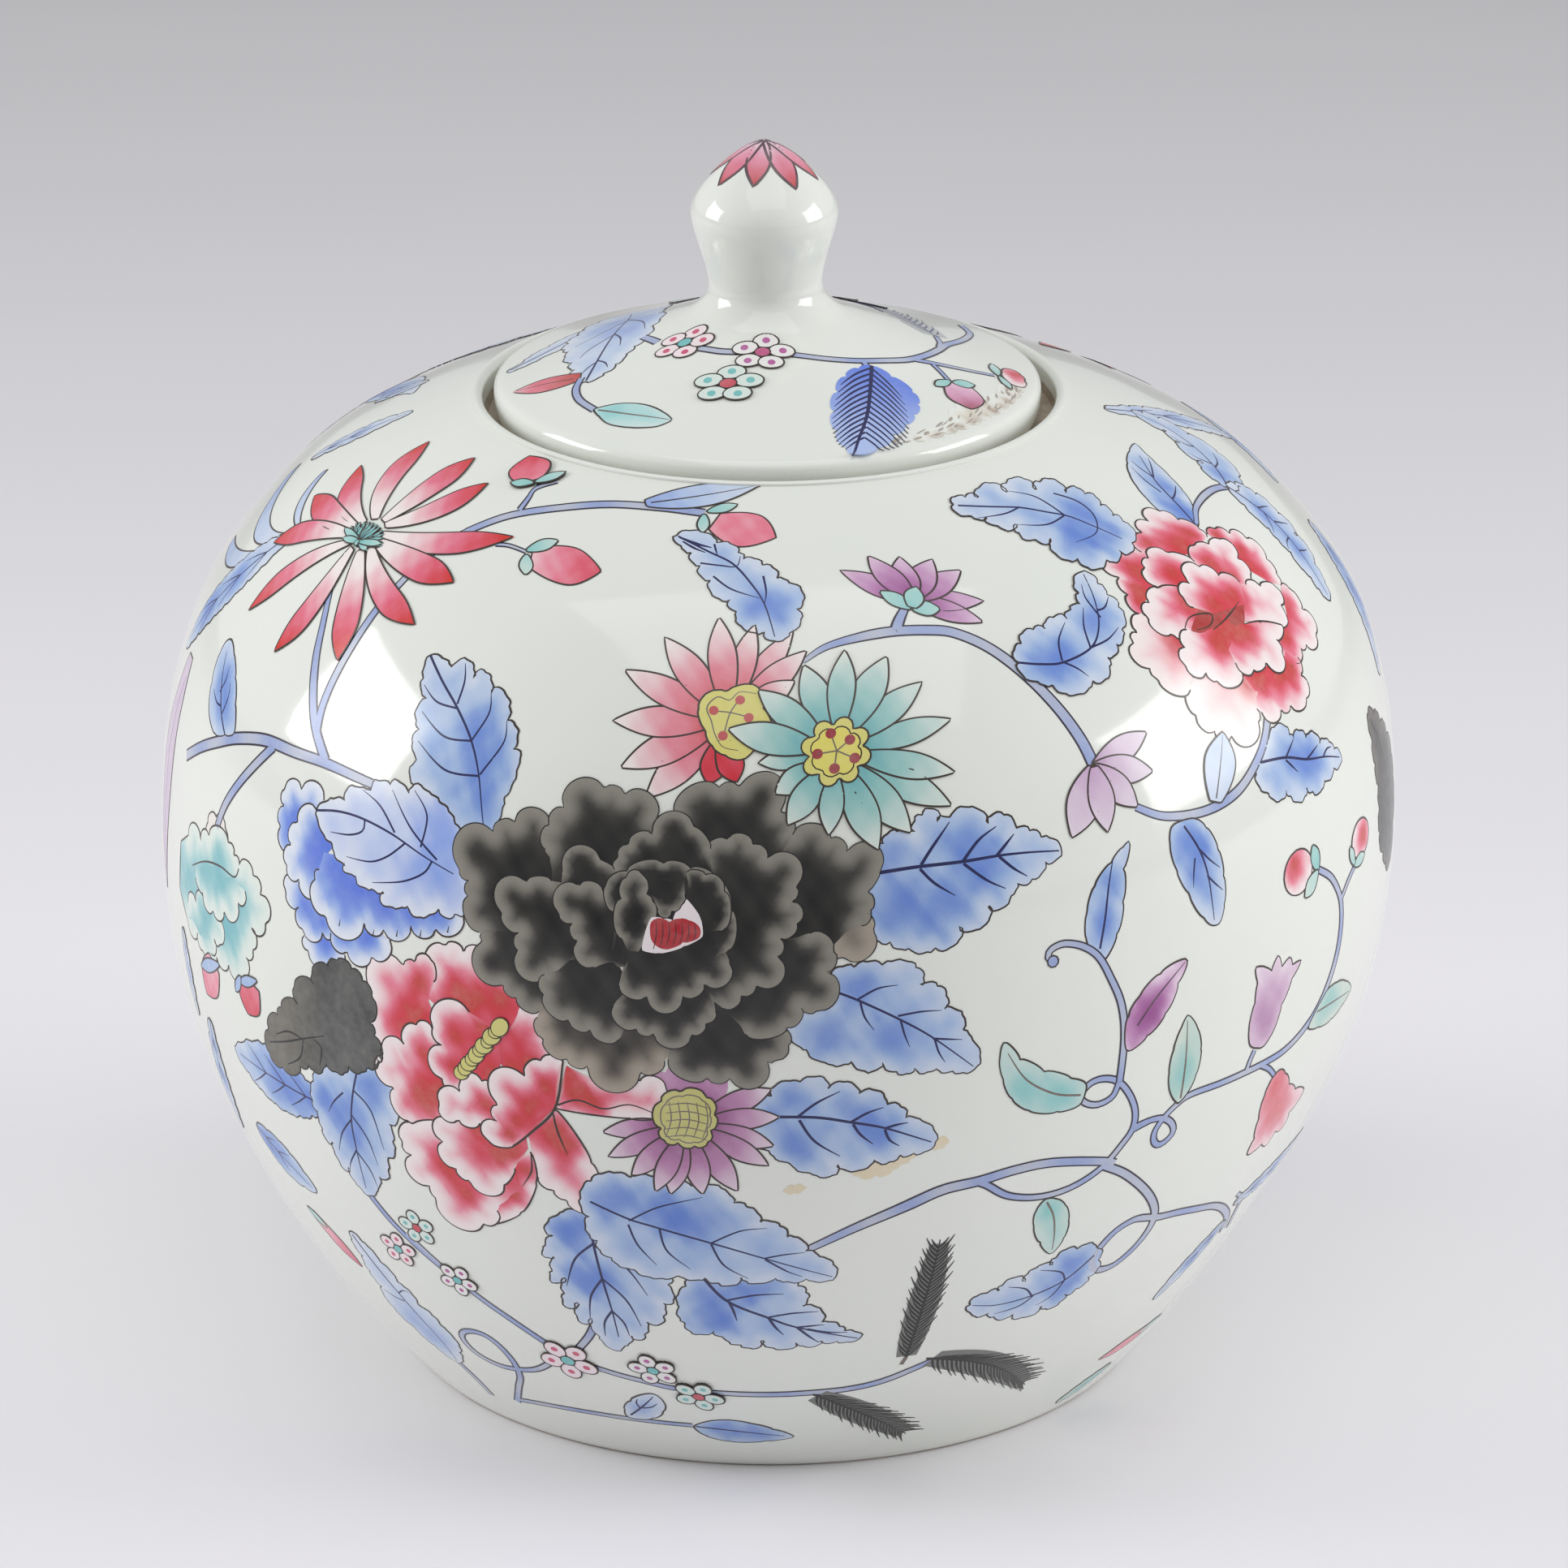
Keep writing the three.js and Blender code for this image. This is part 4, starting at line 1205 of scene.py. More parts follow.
# ---- pink peony on the right shoulder --------------------------------------------------
def upper_peony(swing=0, tag=""):
    """The pink peony on the right shoulder and its leaves."""
    art = Painting("pink_peony_high" + tag, "jar", PotFace(58 + swing, 192))
    leaf(art,
        [(10, 10.3), (6.7, 13.3), (5.7, 16.7), (6.7, 20.7), (8.3, 24), (10.7, 26.7), (14.3, 28.7),
            (19.3, 29.9), (24.3, 29.9), (22.7, 27.7), (21.3, 24.7), (19.7, 20.7), (18, 17.3),
            (15.3, 14)],
        [[(10, 10.3), (13, 19), (15, 23), (20, 28)], [(12.3, 17.5), (15, 18), (18, 19)],
            [(12, 20), (12.2, 24), (13.5, 27.5)], [(15, 23), (19, 25), (21.5, 26.5)],
            [(15.3, 23), (15.3, 26), (16, 28.5)]],
        [(9.5, 14, 5), (15, 20, 3.4), (12, 12.5, 4)], bulge=0.08)
    petal(art,
        [(10.7, 8), (14.2, 7.8, 0.3), (17, 5.3, 0.35), (21, 2.6, 0.4), (22, -2.7), (21.3, -6),
            (20, -8)],
        [(16.7, -6), (12.7, -1.3), (12, 4)], depth=6,
        deep=[(13, 7, 3.4), (14.5, -3.5, 4.5), (16, 2, 3)])
    petal(art,
        [(20, -8), (22.2, -9.7), (21.6, -14, 0.5), (21, -19.3, 0.35), (15.3, -19.3), (12.7, -19.3),
            (8, -20.5), (5.3, -20)],
        [(5.3, -17.3), (9.3, -13.3), (15.3, -12.7), (18, -9.3)], depth=7,
        deep=[(17, -11, 4), (10, -15.5, 5)])
    petal(art,
        [(10, -20.3), (8, -23.3, 0.45), (6.7, -27.7, 0.3), (0.7, -27, 0.35), (-2.8, -26.8, 0.4),
            (-8.7, -25.7)],
        [(-9.7, -24.7), (-8.7, -18), (0.7, -18.7), (7.3, -18)], depth=8,
        deep=[(1, -21, 6), (-6, -20, 4.5), (6, -21, 4)])
    petal(art,
        [(-9.7, -24.7), (-10.7, -27, 0.4), (-19.3, -27.3, 0.45), (-23, -25.4, 0.35),
            (-25.6, -21.6, 0.3), (-24, -16.7)],
        [(-20, -14), (-12.7, -16.7), (-9.3, -18), (-7.3, -22)],
        (srgb(240, 228, 226), srgb(236, 178, 180), srgb(204, 70, 70)), 14, deep=[(-8.5, -20, 4)])
    petal(art,
        [(-23.7, -16.7, 0.35), (-29.3, -12.8, 0.3), (-29.4, -10.6, 0.45), (-28.8, -5, 0.4),
            (-26.4, -3.4, 0.3), (-23, 0)],
        [(-19.3, -3.3), (-18, -8), (-20, -13.3)],
        (srgb(240, 228, 226), srgb(232, 160, 168), srgb(200, 52, 66)), 10, deep=[(-19.5, -7, 3.6)])
    petal(art,
        [(-23, 0, 0.3), (-21.7, 4.3, 0.3), (-19.9, 8, 0.45), (-18.4, 12.8, 0.25), (-14, 13.4, 0.35),
            (-9.7, 13)],
        [(-8.7, 10.7), (-12.7, 8), (-14, 3.3), (-19.3, 2), (-21.3, 0)], depth=5.5,
        deep=[(-20.5, 1.5, 4), (-15, 8, 5), (-18, 4, 3.4)])
    petal(art,
        [(-9.7, 11.3, 0.3), (-7.3, 14.7, 0.2), (-4.5, 14.8, 0.45), (0, 16.4, 0.45), (5.4, 17, 0.3),
            (7, 13.6, 0.25), (9.8, 9.6, 0.3), (9.7, 7.7)],
        [(6.7, 7.3), (0.7, 6.7), (-3.3, 8), (-6, 10.7)], depth=8,
        deep=[(0.5, 9.3, 5.5), (-6, 12.5, 3.6), (6, 10, 3.6)])
    petal(art, [(-14, 3.7, 0.4), (-12.7, 8, 0.3), (-9.7, 9.6, 0.4), (-4.3, 8.9, 0.15), (0, 5.3)],
        [(-0.7, 2.7), (-6, 0.7), (-10.7, 1.3)], depth=5.5, deep=[(-8, 5, 4.4)])
    petal(art,
        [(0, 5, 0.3), (4, 7.6, 0.2), (8, 6.2, 0.2), (12.2, 6, 0.5), (12.4, 1, 0.4), (12, -3, 0.3),
            (6.7, -2.7)],
        [(0.7, 0), (-0.7, 2.7)], depth=7, deep=[(3.5, 3.5, 4.2), (7, -1, 3)])
    petal(art,
        [(-13.3, -6.7), (-19.3, -5.7, 0.4), (-21.7, -1.3, 0.4), (-18.7, 1.3), (-14, 3.3, 0.15),
            (-8.7, 1.3)],
        [(-8.7, -3.3), (-4.7, -5.3), (-10, -7.7)], depth=9, deep=[(-10.5, -1, 4.8), (-9, -5, 4)])
    petal(art,
        [(8.7, -3.7), (12.6, -5.6, 0.2), (17.6, -7.4, 0.4), (14.9, -10.6, 0.1), (14.4, -13, 0.3),
            (9.3, -12.7, 0.1), (4.7, -10.7)],
        [(0.7, -9.3), (0.7, -3.3), (4.7, -2)], depth=10, deep=[(4, -5, 4.4)])
    art.fill(petal_edge((-14, -8.6), (4.6, -5.4), 9, 0.5, 0.5), srgb(168, 36, 34), 1.0)
    petal(art,
        [(-8.7, -17.3, 0.3), (-16.3, -17, 0.3), (-17.7, -14.7, 0.45), (-21.3, -12, 0.35),
            (-18.7, -9, 0.3), (-15.3, -6)],
        [(-10, -7.7), (-3.3, -6), (-2.7, -12), (-8.7, -13.3)], depth=10,
        deep=[(-6, -9, 6.4), (-10, -11, 4.4)])
    petal(art,
        [(-9, -15.3, 0.4), (-5.3, -18, 0.2), (-0.7, -17.7, 0.5), (5.7, -17.9, 0.3),
            (6.2, -15.3, 0.2), (11, -13.7)],
        [(7.3, -11.3), (0, -9.7), (-4.7, -8), (-8.7, -12.7)], depth=9,
        deep=[(-5, -9.5, 6), (-1, -11, 4)])
    petal(art,
        [(-9.7, -2.7), (-10.3, -0.5, 0.4), (-6, 1.7, 0.1), (-5.7, 3.2, 0.4), (0, 3.6, 0.3),
            (3, 0.4, 0.25), (7.3, -2.7)],
        [(4.7, -6.7), (0, -6), (-3.3, -5.7), (-6, -5.3)], depth=7.5,
        deep=[(-4, -4, 5.4), (3, -4, 4.4)])
    art.ink([(-16, -6), (-13, -4.2), (-9.6, -4.2), (-6.6, -5.4), (-9, -7), (-13, -6.8)], 0.34,
        (0.4, 1, 0.4))
    art.ink([(-9, -8), (-5, -7.4), (-1, -6.6), (3, -5.6)], 0.34, (0.4, 1, 0.3))
    art.ink([(0, -9.7), (4, -10.4), (8, -12), (11, -13.7)], 0.36, (0.4, 1, 0.8))
    art.finish(enamel)


def far_right_leaves(swing=0, tag=""):
    """A vine and its leaves beyond the right shoulder."""
    art = Painting("leaves_far_right" + tag, "jar", PotFace(58 + swing, 192))
    art.vines(
        ((11, 11), (15.3, 13.2), (20.7, 13.8), (26, 13.4), (30, 12.4), (34, 10.8), 1.5,
            (0.7, 1, 0.9)),
    )
    leaf(art,
        [(33.7, 11), (32.7, 13.3), (33.7, 16.7), (36.7, 17), (36, 21.3), (39, 22), (39.3, 24.7),
            (41, 25), (41, 31.3), (43.3, 29.3), (46, 26), (47.4, 20), (48, 14), (42.7, 9.7),
            (38, 9.7)],
        [[(33.7, 11), (38, 14), (42, 19), (43, 25), (41, 31)], [(39, 15), (37, 18), (36.6, 20)],
            [(42, 19), (40, 21), (39.6, 24)], [(38.4, 14.4), (42, 14), (46, 15)]],
        [(36, 12.5, 4.4)], bulge=0.3)
    leaf(art,
        [(33.7, 10.7), (32.5, 6.5), (32.3, 3), (33.5, 0.5), (33.3, -2.5), (34.5, -5.5), (34, -9.5),
            (35, -11.5), (35, -14.5), (36.5, -17.2), (39.5, -14.7), (41, -10.7), (44.3, -9),
            (43, -5), (45.3, -4.5), (43.5, -0.5), (44, 1.5), (41.5, 5), (40.5, 7.5), (37.5, 9.5)],
        [[(33.7, 10.7), (36, 5), (38, 0), (38.5, -7), (37, -16.5)], [(36.5, 4), (39.5, 3), (42, 2)],
            [(38, 0), (41, -1.5), (44, -3)], [(38.3, -4), (36, -4), (34, -5)],
            [(38.4, -7), (41, -8), (43, -8.6)], [(37, 2.4), (35, 0), (33.6, -1)]],
        [(37, 2, 4), (38.5, -6, 3.4)], bulge=0.25)
    art.finish(enamel)


upper_peony()
far_right_leaves()


# ---- left shoulder: red aster, its vines and leaves ------------------------------------
def left_shoulder_leaves(swing=0, tag=""):
    """The vines and leaves under the aster."""
    art = Painting("leaves_left" + tag, "jar", PotFace(-52 + swing, 190))
    art.vines(
        ((8.6, 22.6), (8, 21.3), (6.3, 14), (5.3, 7), (4, 0.7), (3.2, -8), (2.9, -15), (3.2, -21),
            (4.2, -25.6), 1.7, (0.9, 1, 1.1)),
        ((-12.7, 2.4), (-8, -6), (-4.7, -12.7), (-0.7, -19.3), (3.3, -24.7), (8.8, -29.9), 1.9,
            (0.6, 1, 1.1)),
        ((24, -31.2), (10, -30.3), (0, -30.7), (-10, -31.3), (-20, -34), (-28, -37.3),
            (-35.3, -40.7), (-43, -45), 2.0, (0.8, 1.1, 1)),
        ((-7, -31.6), (-11.8, -36.7), (-16.4, -42), (-20.3, -47.3), (-22.8, -52.4), 1.8, (1.1, 1)),
    )
    leaf(art,
        [(-36.7, -19.7), (-32.7, -21.3), (-28, -24.7), (-24.7, -28.7), (-22, -33.7), (-25.7, -35),
            (-30, -36.3), (-35.7, -33.3), (-38, -28.7), (-39, -23.3), (-38.3, -20.7)],
        [[(-25.7, -35), (-30, -31.5), (-34, -26), (-36, -22)],
            [(-29, -32), (-28.3, -28.5), (-29.5, -26)], [(-30.5, -31), (-33, -31), (-36, -29.5)],
            [(-32.7, -29), (-31.7, -26), (-32.3, -23.5)]],
        [(-32, -26, 4.5), (-28, -31, 4)], bulge=0.1)
    leaf(art,
        [(22.3, -4.7), (28.3, -6.3), (29.3, -4), (31, -4), (33.7, -7), (34.3, -5.2), (35.7, -5.5),
            (39, -9.3), (39.7, -7.7), (41.3, -8.7), (44, -11.3), (45, -13.7), (47.3, -14.7),
            (48.9, -18.7), (50.5, -19.3), (51, -22), (50.5, -28), (50.4, -33.3), (47, -36.4),
            (44, -35.3), (39.3, -32), (34.7, -30), (31.7, -29), (29.7, -26.7), (30.7, -24.3),
            (27.7, -20.3), (28.3, -18.7), (25.7, -15), (26.7, -12.7), (24, -10.7), (23.7, -9)],
        [[(22.3, -4.7), (28, -9), (34, -13.3), (40, -18.7), (44.5, -25), (48.5, -34)],
            [(33.5, -12.5), (32.5, -8), (30.5, -4.5)], [(34, -13.3), (29, -13), (24.5, -10.5)],
            [(40, -18.7), (40.8, -13), (39, -9)], [(40, -18.7), (34, -19), (27, -15.5)],
            [(44.5, -24.5), (46.5, -18), (45, -13.7)], [(44.3, -24.8), (37, -25), (29, -21)]],
        [(43, -22, 6), (40, -16, 4.5), (47, -29, 5)], bulge=0.12)
    art.finish(enamel)


def red_aster(swing=0, tag=""):
    """The spiky red aster on the left shoulder."""
    art = Painting("red_aster" + tag, "jar", PotFace(-52 + swing, 190))
    art.level = ASTER_LEVEL
    flame = (srgb(238, 228, 226), srgb(224, 106, 134), srgb(204, 44, 32, 1.1))
    heart = np.array((-12.5, 13))
    for x, y, width, bend in [(-25.7, 35.9, 6.6, 0.12), (-36.8, 22.1, 6, 0.1), (-41, 11.3, 6, 0.02),
            (-42.3, -0.7, 5, -0.06), (-35, -13, 4.6, -0.05), (1.2, 35.2, 6, -0.1),
            (-8.8, 39.2, 6.4, -0.02), (19, 24.5, 6.2, -0.06), (15, 0.1, 5.4, -0.06),
            (16.7, 10.7, 6.2, 0), (1.7, -11.7, 6.6, 0.04), (-17.7, -15.9, 5.6, 0.08)]:
        way = np.array((x, y)) - heart
        base = heart + way / np.linalg.norm(way) * 4
        blade(art, base, (x, y), width, flame, -0.25, 1.05, 0.66, 0.3, 0.34, bend=bend)
    for k in range(26):
        angle = math.radians(170 - 160 * k / 25)
        root = heart + (3.6 * math.cos(angle) * (k % 3) / 2, -2.2)
        tip = heart + (6.6 * math.cos(angle), -1.6 + 4.4 * math.sin(angle) * (0.65 + 0.35 * (k % 2)))
        blade(art, root, tip, 1.0, (srgb(176, 206, 200), srgb(120, 186, 186), srgb(78, 160, 172)),
            0.9, 0.3, 0.6, 0.5, 0.24)
    for x, y in [(-20, 11.4), (-18, 9.6), (-13.5, 9.8), (-8.6, 10), (-6.2, 12.6)]:
        blade(art, (-12.4, 10.8), (x, y), 1.7, LEAF_TEAL, 0.9, 0.3, 0.6, 0.5, 0.28)
    blade(art, (9.2, 39), (2.4, 45), 8, ROSY, 0.5, 0.9, 0.5, 0.5)
    blade(art, (10.4, 38.8), (5.8, 37), 2.6, LEAF_TEAL, 0.8, 0.5)
    blade(art, (10.4, 39), (13.4, 44), 2.8, LEAF_TEAL, 0.8, 0.2)
    art.finish(enamel)


left_shoulder_leaves()
red_aster()


# ---- left: blue peony under a toothed leaf, teal peony, buds ---------------------------
def blue_peony(swing=0, tag=""):
    """The blue peony half under a leaf."""
    art = Painting("blue_peony" + tag, "jar", PotFace(-46 + swing, 142))
    blues = (srgb(220, 226, 236), srgb(142, 170, 228), srgb(66, 106, 214))

    def azure(rim, back, deep, depth=7):
        petal(art, rim, back, blues, depth, 0.4, deep, 0.34)

    azure([(-1.3, 11), (-8, 11.2), (-12.9, 10), (-11.9, 7), (-12.2, 3), (-8.7, -1)],
        [(-6, 4.7), (-3.3, 8.7)], [(-9, 3, 4.2), (-8.5, 6, 3.4)], 6)
    azure([(-3.3, -16), (-2, -18.6), (3.6, -19.2), (8, -16.7)], [(4.7, -14), (-0.7, -14.7)],
        [(3, -16, 3.4)], 6)
    azure([(-7.7, -5.3), (-9, -8.8), (-4.8, -10.6), (-3.6, -14.8), (2, -13.7), (4.7, -14)],
        [(4.7, -10.7), (0, -7.3), (-4.7, -4.7)], [(-3, -10, 4.2), (2, -12, 3.4)])
    azure([(4.3, -13.3), (8.6, -15.8), (14.8, -15.3), (19, -11)], [(14, -9.3), (7.3, -10)],
        [(8, -12.5, 4), (14, -12, 3.4)])
    azure([(0, -7), (-5.3, -5.3), (-9.2, -3.8), (-8.3, 0.4), (-7.3, 5), (-2.7, 8.7)],
        [(0.7, 6), (3.3, 3.3), (0.7, 0), (-0.3, -4)], [(1, 2.5, 5.4), (-2, -1, 4.4), (-1, 6, 3.4)])
    azure([(0.2, -2), (-0.6, -4), (2.7, -10.4), (12.7, -9), (17.5, -9.4), (23.7, -7), (29.3, -6.6),
            (35, -2.7)],
        [(34, -1), (20.7, 0), (6, 2), (1, 1.6)],
        [(3, -1, 5.4), (10, -3.5, 6), (17, -5, 5), (23, -5, 4.4), (29, -4, 4)])
    for x, y in [(6.4, -11.4), (15, -11.2), (20.6, -10), (26, -8.8), (32, -6.8)]:
        art.ink([(x, y), (x + 0.2, y + 1.4)], 0.3, (1, 0.3))
    pale = (srgb(220, 226, 236), srgb(184, 198, 234), srgb(116, 150, 226))
    leaf(art,
        [(-2.7, 8.7), (0, 11), (4.3, 12.3), (4.3, 14.7), (7.3, 15.3), (10.3, 15.3), (10.3, 17.3),
            (14.3, 17.7), (14.8, 18.7), (17.3, 18), (19, 17), (19.7, 19), (22.7, 18), (26, 16.7),
            (30, 13.7), (32.3, 11.3), (36, 3.3), (35, -2.7), (33.3, -2.7), (31.7, -4), (29.7, -2.3),
            (24.7, -5), (22.7, -3.3), (16.3, -4), (17.3, -2), (14, -2), (10.3, -1.7), (10, -0.3),
            (6.3, 0), (7.3, 1), (4, 2), (3.3, 4), (-0.7, 6), (-2, 7.7)],
        [[(-2.7, 8.7), (3, 10), (9.3, 10.2), (17, 9), (25, 6.5), (32, 4.5)],
            [(10, 10.2), (10, 8), (7, 6.5), (2, 5.8)], [(20.4, 8), (17, 4.8), (13, 2.8), (7, 2.3)],
            [(27, 6), (25.6, 3.4), (21, 0.8), (14, -1)], [(28, 6.4), (21, 11), (15, 17)],
            [(17.6, 9.4), (13, 13.5), (8, 15.4)], [(24, 8), (24, 14), (20, 18)]],
        [(29, 10, 6.4), (27, 14, 4.4), (24, 4, 4.4), (30, 3, 4.4)], pale, 0.12)
    art.finish(enamel)


def teal_peony(swing=0, tag=""):
    """The teal peony near the left edge, with its buds."""
    art = Painting("teal_peony" + tag, "jar", PotFace(-46 + swing, 142))
    sea = (srgb(222, 230, 222), srgb(164, 206, 206), srgb(104, 178, 188))
    petal(art, [(-39.3, -8), (-39.6, -5, 0.35), (-36, -2.6, 0.35), (-31.7, -3.6, 0.3), (-31, -7)],
        [(-35, -10)], (srgb(232, 226, 220), srgb(226, 222, 214), srgb(222, 216, 206)), 5)
    petal(art,
        [(-50, -11), (-42.7, -9.7), (-38.7, -7.3, 0.3), (-30, -5.8), (-27.6, -7.6), (-25.3, -8.7),
            (-20, -9.2), (-17.4, -12, 0.5), (-15.4, -17.2), (-20.3, -19.4), (-20, -24),
            (-22.8, -26.2), (-23.6, -30.4), (-30, -30.3), (-35.3, -30.5), (-42.4, -32), (-44.9, -29),
            (-51, -29)],
        [(-56, -24), (-55, -14)], sea, 8, 0.4,
        [(-33, -10, 4), (-40, -16, 5), (-25, -17, 5), (-30, -23, 6), (-40, -25, 5)])
    art.ink([(-50, -11), (-55, -14), (-56, -24), (-51, -29)], 0.36, (0.8, 1, 0.8), smooth=False)
    petal(art,
        [(-50, -24.6), (-45, -23, 0.4), (-41, -20.4), (-33, -22), (-33.4, -27.4), (-36, -27),
            (-38, -31)],
        [(-44, -29), (-50, -28)], sea, 6, 0.4, [(-40, -24, 5)])
    petal(art,
        [(-45, -17.7, 0.2), (-41, -19.6, 0.4), (-36, -21.3, 0.4), (-31, -19.7, 0.45),
            (-25.3, -16.2, 0.4), (-22.7, -13)],
        [(-27.3, -11.7), (-34, -11.7), (-40, -13), (-45, -15.4)], sea, 5.5, 0.4,
        [(-41, -15, 4.4), (-33, -13, 3.6)])
    art.ink([(-47, -16), (-40, -12.8), (-33, -11.4), (-27, -11.6), (-25.4, -9.4)], 0.36, (0.6, 1, 0.8))
    blade(art, (-37, -32.6), (-43, -41.4), 8.4, ROSY, 0.3, 0.6, 0.5, 0.6)
    blade(art, (-34.4, -32), (-44.6, -36), 3, LEAF_BLUE, 0.4, 0.5)
    blade(art, (-21, -31.2), (-23.4, -38.6), 7.6, ROSY, 0.6, 0.9, 0.6, 0.7)
    blade(art, (-19, -30), (-26, -32.6), 2.4, LEAF_BLUE, 0.5, 0.5)
    blade(art, (-25.2, -31), (-27.6, -35.4), 2.2, LEAF_BLUE, 0.5, 0.5)
    art.finish(enamel)


blue_peony()
teal_peony()


# ---- right of the black peony ----------------------------------------------------------
def middle_leaves(swing=0, tag=""):
    """The leaves right of the dark peony, and a curling vine with its bud."""
    art = Painting("leaves_right" + tag, "jar", PotFace(33 + swing, 142))
    leaf(art,
        [(-51, 12), (-47.3, 15.3), (-44.3, 17.3), (-41.3, 17), (-40.7, 19), (-39, 20), (-36.7, 20.8),
            (-36.7, 18.7), (-34, 18.7), (-30, 20.3), (-27.3, 17.3), (-24, 18.5), (-22.3, 15.3),
            (-19.3, 14.8), (-17.3, 13), (-13.7, 10.3), (-17.3, 9), (-20, 6.3), (-23.3, 6),
            (-25, 3.7), (-26, 2), (-29.3, 2.3), (-30, -0.7), (-32, -1.7), (-35, -1), (-36.3, -4.1),
            (-40, -4.3), (-44.7, -4), (-48, -2.7), (-52, 0)],
        [[(-50, 10), (-42, 10.7), (-33, 10.9), (-26, 11.2), (-20, 11), (-14, 10.4)],
            [(-41, 11), (-38.5, 14), (-34.4, 18.4)], [(-33, 11), (-29.5, 14.5), (-25.7, 16.6)],
            [(-26.5, 11.2), (-24.5, 13), (-22.5, 14.8)], [(-41.3, 10.3), (-39, 7.5), (-35.3, 4.8)],
            [(-33, 10.5), (-29, 7), (-25.5, 5)], [(-26, 11), (-23.5, 8.5), (-21, 6.7)]],
        [(-46.5, 14, 3.6), (-32, 14.5, 5.4), (-46, 3, 6), (-37, 4, 6), (-28, 9, 4.4)], bulge=0.25,
        vein=0.6)
    leaf(art,
        [(-6.3, -11.9), (-8.3, -10.3), (-9.7, -7.3), (-9.3, -2), (-7.3, 2.7), (-3.3, 6.3),
            (-0.3, 8.7), (1, 9.5), (-1, 4.7), (-1.7, -1.3), (-3.3, -7.3)],
        [[(-7, -9.5), (-5.7, -4), (-4.5, 2), (-3, 7)]], [(-5, 3, 4.4), (-6, -5, 4.4)], bulge=0.1)
    leaf(art,
        [(11, 10), (10.3, 6.7), (11.3, 2), (14, -3.3), (17.3, -8.7), (19.7, -11), (21.3, -11),
            (22.7, -7.3), (22.7, -2), (21.7, 3.3), (19.3, 8), (17.3, 10)],
        [[(14, 9.5), (17, 4.5), (18.7, -0.5), (19.5, -6), (20, -10)],
            [(17, 4.5), (19.5, 1.8), (22, -0.3)], [(18.6, -1), (20.5, -3), (22.5, -4.8)],
            [(15.8, 3), (15.2, 0), (15, -2.5)]],
        [(14, 7, 5), (16, -1, 4), (18, 4, 3.4)], bulge=0.1)
    art.vines(
        ((-16.6, -10.4), (-17.8, -9.6), (-17.6, -8.2), (-16.2, -7.4), (-14, -7.2), (-10.5, -8.4),
            (-7.3, -11), (-4.7, -15.7), (-2.3, -21.3), (-1.3, -28), (-1.5, -37.6), 1.5,
            (0.8, 0.9, 1, 1)),
    )
    disc(art, (-16.9, -10.2), 1.15, VINE, 0.3)
    leaf(art,
        [(-0.5, -24), (2, -20.7), (6.7, -17.3), (13, -16), (10.7, -20), (8, -25.3), (4, -29),
            (-0.3, -31.3)],
        [[(1.5, -26.5), (6, -21.5), (12.5, -16.3)]], [(2.4, -26, 5), (5, -23, 4)], PLUMMY, 0.12,
        dark=srgb(80, 40, 70))
    art.finish(enamel)


middle_leaves()


# ---- right edge: leaf on the vine, soot leaf -------------------------------------------
def right_edge_leaves(swing=0, tag=""):
    """A leaf and a sooty leaf near the right edge."""
    art = Painting("leaves_right_edge" + tag, "jar", PotFace(62 + swing, 140))
    leaf(art,
        [(-23.7, 16), (-21, 17.7), (-17.3, 20.7), (-11.3, 21.7), (-11, 19.7), (-9.7, 19), (-7, 19.5),
            (-5.7, 17.3), (-2.3, 17.5), (-1.3, 15), (2.3, 14.3), (3.7, 12.3), (6.3, 10.1), (2, 9.7),
            (-0.7, 8.1), (-2.3, 8.7), (-4, 7.3), (-7.3, 8), (-9.3, 9.3), (-10.7, 7.7), (-14.7, 9.3),
            (-16, 10.7), (-17.7, 9.7), (-21.3, 12)],
        [[(-21.7, 17.8), (-14, 16.5), (-7, 14), (0, 12.3), (5.5, 10.4)], [(-14, 16.3), (-9.7, 19)],
            [(-7, 14), (-2, 15.3)], [(-14, 16), (-11, 12.7)], [(-1, 12.5), (1, 13.5), (3, 13.3)]],
        [(-11, 16, 5), (-6, 13, 5)], bulge=0.25, vein=0.5)
    leaf(art,
        [(25.7, 12.3), (29.3, 10.7), (33.3, 7.3), (38, 3.3), (42, -2), (43.3, -6.7), (40, -14.7),
            (36, -21.7), (31.3, -19.3), (28, -16), (25, -11.3), (25.7, -6.7), (26, -2), (24.7, 2.7),
            (25.3, 7.3)],
        [[(26, 11), (30, 5), (34, -4), (35.6, -18)], [(30, 5), (28, 1), (26, -1)],
            [(32, 0), (36, -1), (40, -4)]],
        [(34, -10, 9), (30, -6, 8)], LEAF_SOOT, 0.3, dark=SOOT)
    art.finish(enamel)


right_edge_leaves()


